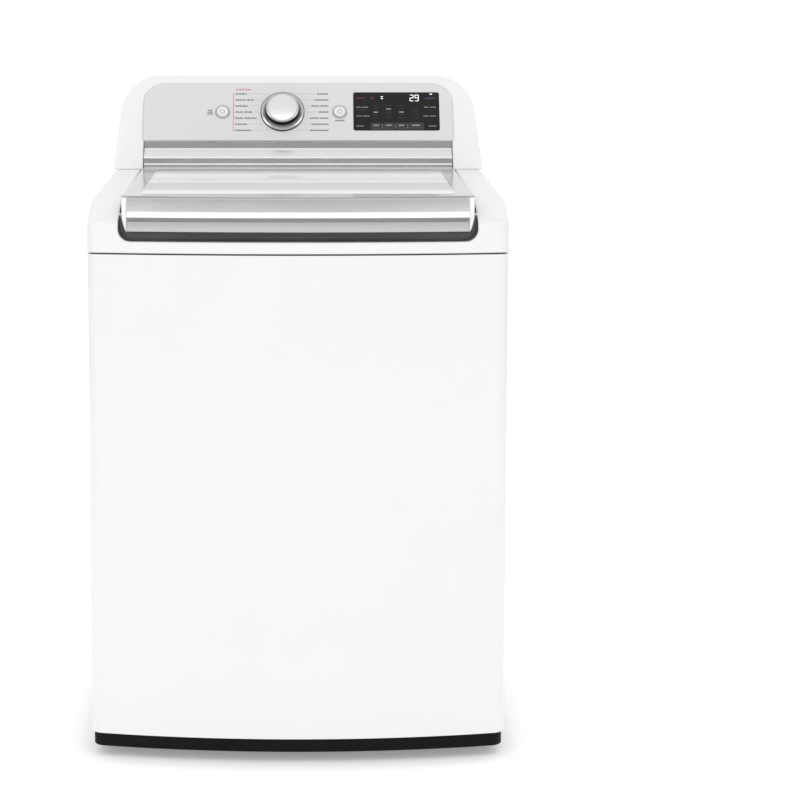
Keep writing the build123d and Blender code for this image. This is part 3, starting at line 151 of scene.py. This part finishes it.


def finish_of(
    name,
    colour,
    roughness,
    metallic=0.0,
    coat=0.0,
    mottle=0.03,
    mottle_scale=9.0,
    grain=0.02,
    grain_scale=900.0,
    stretch=(1, 1, 1),
    soft_edge=0.0,
    specular=0.5,
    rough_spread=0.12,
    painted_shade=0.0,
    painted_shade_reach=0.05,
):
    """Slow colour change, uneven gloss and fine grain, with soft edges and painted shade in recesses and
    narrow gaps where asked for.
    """
    graph = Graph(name)
    graph.set(Metallic=metallic, Coat_Weight=coat, Coat_Roughness=0.06, Specular_IOR_Level=specular)
    darker = tuple(c * (1 - mottle) for c in colour)
    lighter = tuple(min(1.0, c * (1 + mottle)) for c in colour)
    slow = graph.noise(mottle_scale, 3.0, stretch)
    paint = graph.blend(graph.spread(slow, 0, 1), darker, lighter)
    # Painted shade: the base colour darkens where near neighbours crowd in, in recesses and narrow gaps.
    if painted_shade:
        shade = tuple(c * (1 - painted_shade) for c in colour)
        paint = graph.blend(graph.spread(graph.openness(painted_shade_reach), 0, 1, 0.2, 0.65), shade, paint)
        paint = graph.blend(graph.spread(graph.openness(GAP_REACH), 0, 1, 0.35, 0.75), shade, paint)
    graph.join(paint, graph.shader.inputs["Base Color"])
    streaks = graph.noise(mottle_scale * 5, 4.0, stretch)
    low, high = roughness * (1 - rough_spread), roughness * (1 + rough_spread)
    graph.join(graph.spread(streaks, low, high), graph.shader.inputs["Roughness"])
    bump = graph.relief(graph.noise(grain_scale, 2.0, stretch), grain)
    if soft_edge:
        edge = graph.add("ShaderNodeBevel", samples=6)
        edge.inputs["Radius"].default_value = soft_edge
        graph.join(edge.outputs["Normal"], bump.inputs["Normal"])
    return graph


def dress(material, *names):
    """Gives a finish to CAD nodes."""
    for name in names:
        mesh = nodes[name].data
        mesh.materials.clear()
        mesh.materials.append(material)


# ---- Finishes -----------------------------------------------------------------------------
SILK = {"mottle": 0.004, "grain": 0.012}  # the even coat of the white outer parts

white_enamel = finish_of(
    "white_enamel_finish", (0.83, 0.835, 0.84), 0.26, coat=0.35, grain_scale=420, rough_spread=0.03, **SILK
).material
# The top cover's finish, with painted shade in its well, pocket and narrow gaps.
white_gloss = finish_of(
    "white_moulding_finish",
    (0.84, 0.84, 0.845),
    0.22,
    coat=0.2,
    soft_edge=0.005,
    rough_spread=0.04,
    painted_shade=0.84,
    painted_shade_reach=0.055,
    **SILK,
).material
white_hood = finish_of(
    "white_hood_finish", (0.86, 0.86, 0.865), 0.22, coat=0.2, soft_edge=0.005, rough_spread=0.04, **SILK
).material
white_satin = finish_of(
    "white_satin_finish", (0.80, 0.80, 0.80), 0.4, mottle=0.01, grain=0.05, soft_edge=0.0008
).material
panel_silver = finish_of(
    "panel_silver_finish",
    (0.70, 0.70, 0.71),
    0.38,
    metallic=0.2,
    mottle=0.01,
    grain=0.10,
    grain_scale=2600,
    soft_edge=0.0004,
).material
lid_silver = finish_of(
    "lid_silver_finish",
    (0.58, 0.575, 0.575),
    0.18,
    metallic=0.3,
    coat=0.4,
    mottle=0.015,
    grain=0.02,
    soft_edge=0.0008,
).material


def make_band_finish():
    """Polished silver with painted shade: darker towards the upper edge of each of the band's two faces,
    where its reflections fall dim.
    """
    graph = finish_of(
        "band_silver_finish",
        (0.78, 0.77, 0.77),
        0.18,
        metallic=0.9,
        coat=0.3,
        mottle=0.01,
        grain=0.015,
        stretch=(0.2, 1, 1),
    )
    low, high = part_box("lid_handle")
    tall = high.z - low.z
    level = graph.along("Z")
    upper = graph.spread(level, 0, 1, high.z - 0.36 * tall, high.z - 0.03 * tall)
    lower = graph.spread(level, 0, 1, low.z + 0.08 * tall, low.z + 0.33 * tall)
    below = graph.spread(level, 1, 0, low.z + 0.36 * tall, low.z + 0.38 * tall)
    # Painted shade: each face's colour darkens towards its upper edge.
    shade = graph.work_out("MULTIPLY_ADD", lower, below, upper)
    paint = graph.shader.inputs["Base Color"]
    silver = paint.links[0].from_socket
    graph.join(graph.blend(shade, silver, (0.60, 0.59, 0.595)), paint)
    return graph.material


band_silver = make_band_finish()
trim_silver = finish_of(
    "trim_silver_finish",
    (0.84, 0.84, 0.845),
    0.2,
    metallic=0.85,
    coat=0.2,
    mottle=0.01,
    grain=0.02,
    soft_edge=0.0015,
).material
ring_chrome = finish_of(
    "ring_chrome_finish", (0.60, 0.60, 0.61), 0.16, metallic=1.0, mottle=0.02, grain=0.01
).material
black_plinth = finish_of(
    "black_plinth_finish",
    (0.004, 0.004, 0.0042),
    0.55,
    specular=0.15,
    mottle=0.15,
    grain=0.35,
    grain_scale=1400,
    soft_edge=0.0008,
).material
black_plastic = finish_of(
    "black_plastic_finish",
    (0.025, 0.025, 0.027),
    0.55,
    mottle=0.12,
    grain=0.3,
    grain_scale=1200,
    soft_edge=0.0006,
).material
pane_black = finish_of(
    "display_pane_finish", (0.007, 0.006, 0.006), 0.09, specular=0.32, mottle=0.1, grain=0.0
).material
grey_plastic = finish_of(
    "grey_plastic_finish", (0.42, 0.44, 0.46), 0.45, grain=0.15, grain_scale=1100, soft_edge=0.001
).material
tub_plastic = finish_of(
    "tub_plastic_finish", (0.62, 0.62, 0.59), 0.42, mottle=0.04, grain=0.12, grain_scale=500, soft_edge=0.001
).material
blue_plastic = finish_of(
    "blue_plastic_finish", (0.08, 0.22, 0.48), 0.35, coat=0.2, grain=0.06, soft_edge=0.0008
).material
zinc = finish_of(
    "zinc_sheet_finish",
    (0.62, 0.63, 0.645),
    0.36,
    metallic=0.9,
    mottle=0.07,
    mottle_scale=28,
    grain=0.10,
    grain_scale=260,
).material
stainless = finish_of(
    "stainless_finish", (0.63, 0.635, 0.64), 0.22, metallic=1.0, mottle=0.02, grain=0.05, stretch=(1, 1, 30)
).material
spring_steel = finish_of(
    "spring_steel_finish", (0.30, 0.31, 0.33), 0.3, metallic=1.0, mottle=0.08, mottle_scale=60, grain=0.05
).material
die_cast = finish_of(
    "die_cast_finish",
    (0.60, 0.61, 0.62),
    0.48,
    metallic=1.0,
    mottle=0.06,
    mottle_scale=40,
    grain=0.35,
    grain_scale=500,
).material
enamel_wire = finish_of(
    "enamelled_wire_finish",
    (0.42, 0.14, 0.05),
    0.28,
    metallic=0.6,
    mottle=0.12,
    grain=0.5,
    grain_scale=700,
    stretch=(1, 1, 4),
).material
rubber = finish_of(
    "rubber_finish", (0.022, 0.022, 0.022), 0.72, mottle=0.1, grain=0.25, grain_scale=900, specular=0.3
).material
board_green = finish_of(
    "circuit_board_finish", (0.02, 0.13, 0.06), 0.35, coat=0.4, mottle=0.2, mottle_scale=90, grain=0.15
).material

HIGHLIGHT_BAND_DEPTH = (0.046, 0.052)  # where the painted highlight band fades out, from the glass's front edge


def make_lid_glass():
    """Tempered pane with a faint tint and a painted highlight: a white band along its front edge."""
    graph = Graph("lid_glass_finish")
    graph.set(Sheen_Weight=1.0, Sheen_Roughness=0.4, Coat_Weight=0.6, Coat_Roughness=0.02, IOR=1.5)
    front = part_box("lid_glass")[0].y
    highlight_band = graph.spread(graph.along("Y"), 1, 0, *(front + depth for depth in HIGHLIGHT_BAND_DEPTH))
    tint = graph.blend(graph.spread(graph.noise(6), 0, 1), (0.84, 0.87, 0.88), (0.89, 0.91, 0.92))
    sockets = graph.shader.inputs
    # Painted highlight: the front band is opaque white, and its fading rear edge shows as a bright line.
    graph.join(graph.blend(highlight_band, tint, (0.97, 0.97, 0.97)), sockets["Base Color"])
    graph.join(graph.spread(highlight_band, 0.45, 0.0, 0, 1), sockets["Transmission Weight"])
    graph.join(graph.spread(graph.noise(30), 0.015, 0.04), sockets["Roughness"])
    graph.relief(graph.noise(14, 1.0), 0.02, depth=0.001)
    return graph.material


dress(white_enamel, "cabinet_shell")
dress(white_gloss, "top_cover")
dress(white_hood, "console_housing", "lid_end_caps")
dress(white_satin, "dispenser_drawer", "power_button", "start_button")
dress(panel_silver, "control_panel")
dress(trim_silver, "hinge_trim")
dress(lid_silver, "lid_frame")
dress(band_silver, "lid_handle")
dress(ring_chrome, "button_bezels")
dress(pane_black, "display_glass")
dress(make_lid_glass(), "lid_glass")
dress(black_plinth, "plinth")
dress(black_plastic, "base_frame", "panel_switches", "lid_lock_housing", "lid_lock_bolt", "drain_port")
dress(black_plastic, "cord_gland", "foot_front_left", "foot_front_right")
dress(black_plastic, "foot_rear_left", "foot_rear_right")
dress(grey_plastic, "hinge_brackets", "dispenser_housing", "inlet_valve", "drain_pump", "suspension_cups")
dress(grey_plastic, "balance_ring", "pulsator")
dress(blue_plastic, "pulsator_cap", "pump_impeller")
dress(tub_plastic, "outer_tub", "tub_ring")
dress(zinc, "rear_panel", "rear_panel_screws", "console_rear_cover", "suspension_brackets")
dress(zinc, "suspension_rods", "lid_striker", "motor_rotor")
dress(stainless, "basket", "spin_tube", "drive_shaft", "tub_bearings", "lid_hinge_pins")
dress(spring_steel, "suspension_springs")
dress(die_cast, "bearing_housing", "basket_hub")
dress(enamel_wire, "motor_stator")
dress(rubber, "fill_hose", "drain_hose", "sump_hose", "shaft_seal", "lid_bumpers")
dress(board_green, "control_boards")


# ---- Dial ---------------------------------------------------------------------------------
LEAN = math.radians(29.0)  # the control panel's lean from upright
RIGHT = Vector((1, 0, 0))
UP = Vector((0, math.sin(LEAN), math.cos(LEAN)))
OUT = Vector((0, -math.cos(LEAN), math.sin(LEAN)))

GRIP_SHADE_HEIGHTS = (0.003, 0.011)  # heights above the panel between which the painted shade on the grip's side deepens to dark
GRIP_RIM = (0.0165, 0.0178)  # heights of a line of plain chrome between the painted shade and the cap
SKIRT_SHADE_LINE = (0.0392, 0.0402)  # distances from the axis at which the painted shade round the skirt's edge begins
CAP_DOME = -2.6  # how fast the cap seems to fall away from its middle, in 1/m
TURNING_PITCH = 9000.0  # turning marks on the cap, in radians per metre
TURNING_DEPTH = 0.000002


def reach_along(node, way):
    """Least and greatest distance of a CAD node's points along a direction."""
    reaches = [(nodes[node].matrix_world @ v.co).dot(way) for v in nodes[node].data.vertices]
    return min(reaches), max(reaches)


def dial_radius(graph):
    """Distance from the dial's axis, as a node output."""
    low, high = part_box("knob_cap")
    where = graph.add("ShaderNodeTexCoord")
    offset = graph.add("ShaderNodeVectorMath", operation="SUBTRACT")
    offset.inputs[1].default_value = (low + high) / 2
    graph.join(where.outputs["Object"], offset.inputs[0])
    across = graph.add("ShaderNodeVectorMath", operation="CROSS_PRODUCT")
    across.inputs[1].default_value = OUT
    graph.join(offset.outputs["Vector"], across.inputs[0])
    radius = graph.add("ShaderNodeVectorMath", operation="LENGTH")
    graph.join(across.outputs["Vector"], radius.inputs[0])
    return radius.outputs["Value"]


def make_knob_finish():
    """Chrome with painted shade that deepens up the grip's side, from skirt to cap, and a painted dark line
    round the skirt's edge.
    """
    graph = finish_of("knob_finish", (0.62, 0.62, 0.63), 0.16, metallic=0.9, mottle=0.01, grain=0.01)
    where = graph.add("ShaderNodeTexCoord")
    height = graph.add("ShaderNodeVectorMath", operation="DOT_PRODUCT")
    height.inputs[1].default_value = OUT
    graph.join(where.outputs["Object"], height.inputs[0])
    height = height.outputs["Value"]
    # Painted shade: the grip's side and the skirt's edge are coloured near black where they fall dark.
    chrome, dark = (0.60, 0.60, 0.61), (0.008, 0.008, 0.009)
    grip_shade = graph.spread(height, 0, 1, *(panel_face + h for h in GRIP_SHADE_HEIGHTS))
    rim = graph.spread(height, 0, 1, *(panel_face + h for h in GRIP_RIM))
    grip = graph.blend(rim, graph.blend(grip_shade, chrome, dark), chrome)
    skirt = graph.spread(dial_radius(graph), 0, 1, *SKIRT_SHADE_LINE)
    graph.join(graph.blend(skirt, grip, (0.03, 0.03, 0.032)), graph.shader.inputs["Base Color"])
    return graph.material


def make_cap_finish():
    """Satin silver whose shading makes the flat cap look slightly domed, with fine turning marks."""
    graph = Graph("knob_cap_finish")
    graph.set(Metallic=0.55)
    sockets = graph.shader.inputs
    tone = graph.spread(graph.noise(40), 0, 1)
    graph.join(graph.blend(tone, (0.76, 0.76, 0.77), (0.80, 0.80, 0.81)), sockets["Base Color"])
    graph.join(graph.spread(graph.noise(90), 0.2, 0.26), sockets["Roughness"])
    radius = dial_radius(graph)
    dome = graph.work_out("MULTIPLY", graph.work_out("POWER", radius, 2.0), CAP_DOME)
    rings = graph.work_out("SINE", graph.work_out("MULTIPLY", radius, TURNING_PITCH))
    graph.relief(graph.work_out("MULTIPLY_ADD", rings, TURNING_DEPTH, dome), 1.0, depth=1.0)
    return graph.material


panel_face = reach_along("control_panel", OUT)[1]
dress(make_knob_finish(), "knob")
dress(make_cap_finish(), "knob_cap")

# ---- Printed marks on the panel -----------------------------------------------------------
PRINT_SINK = 0.00005  # how far the printing reaches into the face under it
PRINT_THICKNESS = 0.00012
panel_foot = UP * reach_along("control_panel", UP)[0] + OUT * panel_face


def on_panel(x, v, height=0.0):
    """A point on the panel: across, up its slope and out from its face."""
    return panel_foot + RIGHT * x + UP * v + OUT * height


def panel_place(node):
    """Across and up the panel's slope, the middle of a CAD node on it."""
    low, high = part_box(node)
    middle = (low + high) / 2 - panel_foot
    return middle.dot(RIGHT), middle.dot(UP)


def add_prism(mesh, outline, height, thickness):
    """A thin closed prism on the panel, from its outline's (across, up) points."""
    low = [mesh.verts.new(on_panel(x, v, height - PRINT_SINK)) for x, v in outline]
    high = [mesh.verts.new(on_panel(x, v, height + thickness)) for x, v in outline]
    mesh.faces.new(high)
    mesh.faces.new(list(reversed(low)))
    for i in range(len(outline)):
        j = (i + 1) % len(outline)
        mesh.faces.new((low[i], low[j], high[j], high[i]))


CORNER_SHARE = 0.3  # a bar's clipped corner, as a share of its shorter side
CORNER_MOST = 0.0008


def bar_outline(x, v, width, tall):
    """A rectangle with clipped corners."""
    corner = min(width * CORNER_SHARE, tall * CORNER_SHARE, CORNER_MOST)
    outline = []
    for side_x, side_v, start in ((1, 1, 0), (-1, 1, 90), (-1, -1, 180), (1, -1, 270)):
        middle_x = x + side_x * (width / 2 - corner)
        middle_v = v + side_v * (tall / 2 - corner)
        for step in (0, 90):
            turn = math.radians(start + step)
            outline.append((middle_x + corner * math.cos(turn), middle_v + corner * math.sin(turn)))
    return outline


ARC_STEPS = 28


def arc_outlines(x, v, radius, width, start, end):
    """A ring or an arc as a row of short four-sided pieces."""
    turns = [math.radians(start + (end - start) * i / ARC_STEPS) for i in range(ARC_STEPS + 1)]
    for first, second in zip(turns, turns[1:]):
        corners = ((radius - width, first), (radius, first), (radius, second), (radius - width, second))
        yield [(x + reach * math.cos(turn), v + reach * math.sin(turn)) for reach, turn in corners]


def printed(
    name,
    outlines,
    ink,
    body="cabinet",
    height=0.0,
    thickness=PRINT_THICKNESS,
    slot_name="black_plastic",
):
    """One piece of printing: thin closed prisms that share an ink and a body."""
    mesh = bmesh.new()
    for outline in outlines:
        add_prism(mesh, outline, height, thickness)
    data = bpy.data.meshes.new(name)
    mesh.to_mesh(data)
    mesh.free()
    data.materials.append(ink)
    piece = bpy.data.objects.new(name, data)
    scene.collection.objects.link(piece)
    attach(piece, body)


def marks(name, bars, ink, **where):
    """Printed bars on the panel, each (across, up, width, tall)."""
    printed(name, [bar_outline(*bar) for bar in bars], ink, **where)


def ink_of(name, colour, glow=0.0):
    """Printing ink or a lit segment, with a slightly uneven coat."""
    graph = finish_of(name, colour, 0.5, mottle=0.08, mottle_scale=400, grain=0.1, grain_scale=3000)
    if glow:
        graph.set(Emission_Color=(*colour, 1), Emission_Strength=glow)
    return graph.material


dark_ink = ink_of("dark_ink", (0.07, 0.07, 0.073))
grey_ink = ink_of("grey_ink", (0.20, 0.20, 0.205))
leader_ink = ink_of("leader_ink", (0.36, 0.36, 0.37))
red_ink = ink_of("red_ink", (0.55, 0.05, 0.10))
pane_ink = ink_of("pane_ink", (0.36, 0.36, 0.36))
pane_dim_ink = ink_of("pane_dim_ink", (0.022, 0.021, 0.020))
pane_key_ink = ink_of("pane_key_ink", (0.030, 0.028, 0.027))
pane_red_ink = ink_of("pane_red_ink", (0.085, 0.010, 0.013))
pane_blue_ink = ink_of("pane_blue_ink", (0.02, 0.03, 0.06))
lit_ink = ink_of("lit_segment", (0.95, 0.96, 1.0), glow=0.9)

PANE_THICKNESS = 0.0023
knob_x, knob_v = panel_place("knob_cap")
power_x, power_v = panel_place("power_button")
start_x, start_v = panel_place("start_button")
pane_x, pane_v = panel_place("display_glass")
pane_low, pane_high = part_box("display_glass")
pane_width = pane_high.x - pane_low.x
pane_tall = (pane_high.z - pane_low.z - PANE_THICKNESS * math.sin(LEAN)) / math.cos(LEAN)

WORD_GAP = 0.0022
LETTER_PITCH = 0.62  # from tick to tick, as a share of their height
SHORT_LETTER = 0.72  # a short tick's height beside a tall one's
LETTER_WIDE = 0.66  # a tick's width, as a share of the pitch


def words(x, v, widths, tall, to_left=False):
    """A line of stand-in words, each a row of plain ticks, from its left end or its right end."""
    bars, at = [], x
    for width in reversed(widths) if to_left else widths:
        start = at - width if to_left else at
        letters = max(2, round(width / (tall * LETTER_PITCH)))
        pitch = width / letters
        for i in range(letters):
            high = tall if (i * 7 + letters) % 3 == 0 else tall * SHORT_LETTER
            bars.append((start + (i + 0.5) * pitch, v - (tall - high) / 2, pitch * LETTER_WIDE, high))
        at += -(width + WORD_GAP) if to_left else width + WORD_GAP
    return bars, at


LABEL_TALL = 0.0040
LABEL_PITCH = 0.01285
FIRST_LABEL = 0.0385  # the first row's height above the dial's middle
LABEL_LEFT = 0.0885  # from the dial's middle to the outer ends of the labels
LABEL_RIGHT = 0.086
LEADER_WIDTH = 0.0004
LEADER_CLEAR = 0.0455  # radius round the dial that the leaders stop at
LEADER_NEAREST = 0.019
LEFT_WORDS = [(0.0215,), (0.019, 0.013), (0.0235,), (0.013, 0.017), (0.016, 0.022), (0.0235,), (0.0305,)]
RIGHT_WORDS = [(0.0215,), (0.0265,), (0.014, 0.0155), (0.019,), (0.017, 0.016), (0.0325,), (0.0355,)]


def cycle_labels():
    """Seven stand-in labels on each side of the dial, each with a fine line towards it."""
    label_bars, line_bars = [], []
    left_edge = knob_x - LABEL_LEFT
    for row, (left_words, right_words) in enumerate(zip(LEFT_WORDS, RIGHT_WORDS)):
        v = knob_v + FIRST_LABEL - LABEL_PITCH * row
        reach = math.sqrt(max(0.0, LEADER_CLEAR**2 - (v - knob_v) ** 2))
        reach = max(reach, LEADER_NEAREST)
        bars, end = words(left_edge, v, left_words, LABEL_TALL)
        label_bars += bars
        stop = knob_x - reach
        line_bars.append(((end + stop) / 2, v, stop - end, LEADER_WIDTH))
        bars, end = words(knob_x + LABEL_RIGHT, v, right_words, LABEL_TALL, to_left=True)
        label_bars += bars
        stop = knob_x + reach
        line_bars.append(((end + stop) / 2, v, end - stop, LEADER_WIDTH))
    marks("dial_labels", label_bars, dark_ink)
    marks("dial_leaders", line_bars, leader_ink)
    accent, _ = words(left_edge, knob_v + 0.0475, (0.016, 0.012), 0.0034)
    accent.append((left_edge - 0.0034, knob_v - 0.0005, 0.0009, 0.083))
    marks("dial_accent", accent, red_ink)


SMALL_LABEL_TALL = 0.0022


def button_labels():
    """Small stand-in labels beside the power button and under the start button."""
    bars = [
        (power_x - 0.0235, power_v + up, width, SMALL_LABEL_TALL)
        for up, width in ((0.0035, 0.009), (-0.0005, 0.010), (-0.0045, 0.012))
    ]
    bars.append((start_x, start_v - 0.0185, 0.018, SMALL_LABEL_TALL))
    marks("button_labels", bars, grey_ink)


DIGIT_TALL = 0.0124
DIGIT_WIDE = 0.0062
DIGIT_STROKE = 0.0010
LEVEL = (DIGIT_WIDE, DIGIT_STROKE)
UPRIGHT = (DIGIT_STROKE, DIGIT_TALL / 2)
# Each segment's place from the digit's middle, then its width and height.
SEGMENTS = {
    "a": (0, DIGIT_TALL / 2, *LEVEL),
    "b": (DIGIT_WIDE / 2, DIGIT_TALL / 4, *UPRIGHT),
    "c": (DIGIT_WIDE / 2, -DIGIT_TALL / 4, *UPRIGHT),
    "d": (0, -DIGIT_TALL / 2, *LEVEL),
    "e": (-DIGIT_WIDE / 2, -DIGIT_TALL / 4, *UPRIGHT),
    "f": (-DIGIT_WIDE / 2, DIGIT_TALL / 4, *UPRIGHT),
    "g": (0, 0, *LEVEL),
}
DIGITS = {"2": "abged", "9": "abcdfg"}
PANE_FACE = 0.0003  # how far the display's face stands out of the panel's


def on_pane(across, up):
    """A place on the display, from -1 to 1 across it and up it."""
    return pane_x + across * pane_width / 2, pane_v + up * pane_tall / 2


def pane_bars(acrosses, ups, width, tall):
    """Bars of one size at every crossing of some columns and rows of the display."""
    return [(*on_pane(across, up), width, tall) for across in acrosses for up in ups]


def pane_marks(name, bars, ink, **where):
    """Printed or lit bars on the display."""
    marks(name, bars, ink, height=PANE_FACE, slot_name="dark_glass", **where)


def display_marks():
    """Lit digits, touch key names and the lighter row of keys on the display."""
    lit = []
    for across, digit in ((0.36, "2"), (0.48, "9")):
        digit_x, digit_v = on_pane(across, 0.70)
        for segment in DIGITS[digit]:
            x, v, wide, tall = SEGMENTS[segment]
            lit.append((digit_x + x, digit_v + v, wide, tall))
    lit += pane_bars((-0.33,), (0.67, 0.77), 0.0042, 0.0013)
    lit += pane_bars((0.81,), (0.90,), 0.0050, 0.0014)
    pane_marks("display_lit", lit, lit_ink)

    keys = pane_bars((-0.47, -0.18, 0.11), (-0.78,), 0.0200, 0.0150)
    keys += pane_bars((0.45,), (-0.78,), 0.0290, 0.0150)
    pane_marks("display_keys", keys, pane_key_ink)

    legends = []
    for up, widths in ((0.22, (0.009, 0.011)), (-0.24, (0.010, 0.012)), (-0.76, (0.014,))):
        legends += words(*on_pane(-0.93, up), widths, 0.0024)[0]
        legends += words(*on_pane(0.92, up), widths, 0.0024, to_left=True)[0]
    for across, up in ((-0.48, -0.05), (-0.18, 0.12), (0.12, -0.04)):
        legends += pane_bars((across,), (up,), 0.009, 0.0020)
    for across, width in ((-0.47, 0.011), (-0.18, 0.011), (0.11, 0.010), (0.45, 0.015)):
        x, v = on_pane(across, -0.74)
        legends.append((x, v + 0.0004, width, 0.0020))
    legends += pane_bars((-0.325, -0.035, 0.255), (-0.78,), 0.0007, 0.0100)
    pane_marks("display_legends", legends, pane_ink, thickness=0.0002)

    x, v = on_pane(-0.93, 0.10)
    dim = [(x + 0.010, v, 0.018, 0.0014)]
    dim += pane_bars((-0.48,), (0.30, 0.16, 0.02, -0.18, -0.32), 0.011, 0.0013)
    dim += pane_bars((-0.18,), (0.30, -0.05, -0.18, -0.32), 0.011, 0.0013)
    dim += pane_bars((0.12,), (0.30, 0.16, -0.18, -0.32), 0.012, 0.0013)
    dim += pane_bars((0.45,), (0.18, 0.02, -0.14, -0.30), 0.012, 0.0013)
    pane_marks("display_dim", dim, pane_dim_ink)

    red = pane_bars((-0.82,), (0.70,), 0.016, 0.0030) + pane_bars((-0.56,), (0.70,), 0.007, 0.0040)
    pane_marks("display_red", red, pane_red_ink)
    pane_marks("display_blue", pane_bars((0.80,), (0.68,), 0.020, 0.0035), pane_blue_ink)


BUTTON_DISH = 0.0006  # how far the middle of a button lies below its rim
SIGN_RADIUS = 0.0042
SIGN_STROKE = 0.0008
POWER_ARC = (125, 415)  # where the power sign's arc starts and ends, in degrees


def button_signs():
    """The usual power sign and a ring for start, each riding on its own button."""
    face = reach_along("power_button", OUT)[1] - panel_face - BUTTON_DISH
    power = list(arc_outlines(power_x, power_v, SIGN_RADIUS, SIGN_STROKE, *POWER_ARC))
    power.append(bar_outline(power_x, power_v + 0.0036, SIGN_STROKE, 0.0036))
    printed("power_sign", power, grey_ink, body="power_key", height=face)
    start = list(arc_outlines(start_x, start_v, SIGN_RADIUS, SIGN_STROKE, 0, 360))
    printed("start_sign", start, grey_ink, body="start_key", height=face)


cycle_labels()
button_labels()
display_marks()
button_signs()


# ---- Studio -------------------------------------------------------------------------------
def plane_at(name, corners, material):
    """A flat stage piece from its four corners."""
    mesh = bmesh.new()
    mesh.faces.new([mesh.verts.new(c) for c in corners])
    data = bpy.data.meshes.new(name)
    mesh.to_mesh(data)
    mesh.free()
    data.materials.append(material)
    piece = bpy.data.objects.new(name, data)
    scene.collection.objects.link(piece)
    return piece


def pale_surface(name, strength):
    """A matt pale surface that gives off a little light of its own."""
    graph = Graph(name)
    pale = (0.90, 0.90, 0.90, 1)
    graph.set(Base_Color=pale, Roughness=0.9, Emission_Color=pale, Emission_Strength=strength)
    return graph.material


plane_at(
    "studio_floor",
    [(-12, -12, 0), (12, -12, 0), (12, 9, 0), (-12, 9, 0)],
    pale_surface("pale_floor", 0.28),
)
backdrop = plane_at(
    "studio_backdrop",
    [(-14, 8.9, -1), (14, 8.9, -1), (14, 8.9, 12), (-14, 8.9, 12)],
    pale_surface("pale_backdrop", 0.35),
)
backdrop.visible_shadow = False


def card(name, corners, glow):
    """A sheet that only reflections see."""
    graph = Graph(name + "_glow")
    graph.set(Base_Color=(0, 0, 0, 1), Specular_IOR_Level=0)
    graph.set(Emission_Color=(1, 1, 1, 1), Emission_Strength=glow)
    sheet = plane_at(name, corners, graph.material)
    sheet.visible_camera = False
    sheet.visible_diffuse = False
    sheet.visible_transmission = False
    sheet.visible_shadow = False


CARD_AWAY = 5.0  # the front cards' distance from the object's middle
CARD_HALF = 9.0  # half of the front cards' width
LID_FRONT = (0.35, 0.9)  # how far forward and how high the lid's front edge is
DARK_TOP = 22  # angles above level, in degrees, where one front card ends and the next begins
GREY_TOP = 38.5
BRIGHT_TOP = 52
BEHIND_AWAY = 7.0
SIDE_AWAY = 4.0
SIDE_TALL = 2.6


def climb(degrees):
    """Height on the front cards that the lid's front edge sees at an angle above level."""
    forward, height = LID_FRONT
    return height + (CARD_AWAY - forward) * math.tan(math.radians(degrees))


def front_card(name, low, high, glow):
    """A wide upright card in front of the object."""
    corners = ((-CARD_HALF, low), (CARD_HALF, low), (CARD_HALF, high), (-CARD_HALF, high))
    card(name, [(x, -CARD_AWAY, z) for x, z in corners], glow)


front_card("card_dark", 0.05, climb(DARK_TOP), 0.26)
front_card("card_grey", climb(DARK_TOP), climb(GREY_TOP), 0.62)
front_card("card_bright", climb(GREY_TOP), climb(BRIGHT_TOP), 1.9)
behind = ((-7, 0.01), (7, 0.01), (7, 6), (-7, 6))
card("card_behind", [(x, BEHIND_AWAY, z) for x, z in behind], 0.93)
card("card_floor", [(-4, -6, 0.004), (4, -6, 0.004), (4, -1, 0.004), (-4, -1, 0.004)], 0.75)
beside = ((-4.9, 0.01), (3, 0.01), (3, SIDE_TALL), (-4.9, SIDE_TALL))
for side, x in (("left", -SIDE_AWAY), ("right", SIDE_AWAY)):
    card(f"card_side_{side}", [(x, y, z) for y, z in beside], 0.35)

world = bpy.data.worlds.new("studio")
scene.world = world
world.use_nodes = True
sky = world.node_tree.nodes["Background"].inputs
sky["Color"].default_value = (1.0, 1.0, 1.0, 1)
sky["Strength"].default_value = 0.88


def softbox(name, place, target, size, power):
    """A rectangular area light aimed at a point, left out of reflections."""
    light = bpy.data.lights.new(name, "AREA")
    light.shape = "RECTANGLE"
    light.size, light.size_y = size
    light.energy = power
    lamp = bpy.data.objects.new(name, light)
    lamp.location = place
    lamp.rotation_euler = (Vector(target) - Vector(place)).to_track_quat("-Z", "Y").to_euler()
    lamp.visible_glossy = False
    scene.collection.objects.link(lamp)


middle = (Vector(cad_bounds[0]) + Vector(cad_bounds[1])) / 2
softbox("overhead", (0, -0.4, 3.8), middle, (3.2, 2.4), 2)
softbox("front_fill", (-1.6, -5.5, 2.6), (0, 0, 0.7), (4.0, 2.5), 30)
softbox("console_fill", (0.6, -3.4, 4.6), (0, 0.2, 1.0), (2.6, 1.6), 22)

# ---- Camera -------------------------------------------------------------------------------
CAMERA_AWAY = 3.344  # in front of the object's frontmost point
CAMERA_HEIGHT = 1.088
CAMERA_PITCH = 6.388  # degrees down from level

camera_data = bpy.data.cameras.new("camera")
camera_data.lens = 94.33
camera_data.sensor_width = 36.0
camera_data.shift_x = 0.1275
camera_data.shift_y = -0.085
camera_data.clip_end = 100
camera = bpy.data.objects.new("camera", camera_data)
camera.location = (0, cad_bounds[0][1] - CAMERA_AWAY, CAMERA_HEIGHT)
camera.rotation_euler = (math.radians(90 - CAMERA_PITCH), 0, 0)
scene.collection.objects.link(camera)
scene.camera = camera
scene.view_settings.view_transform = "Standard"
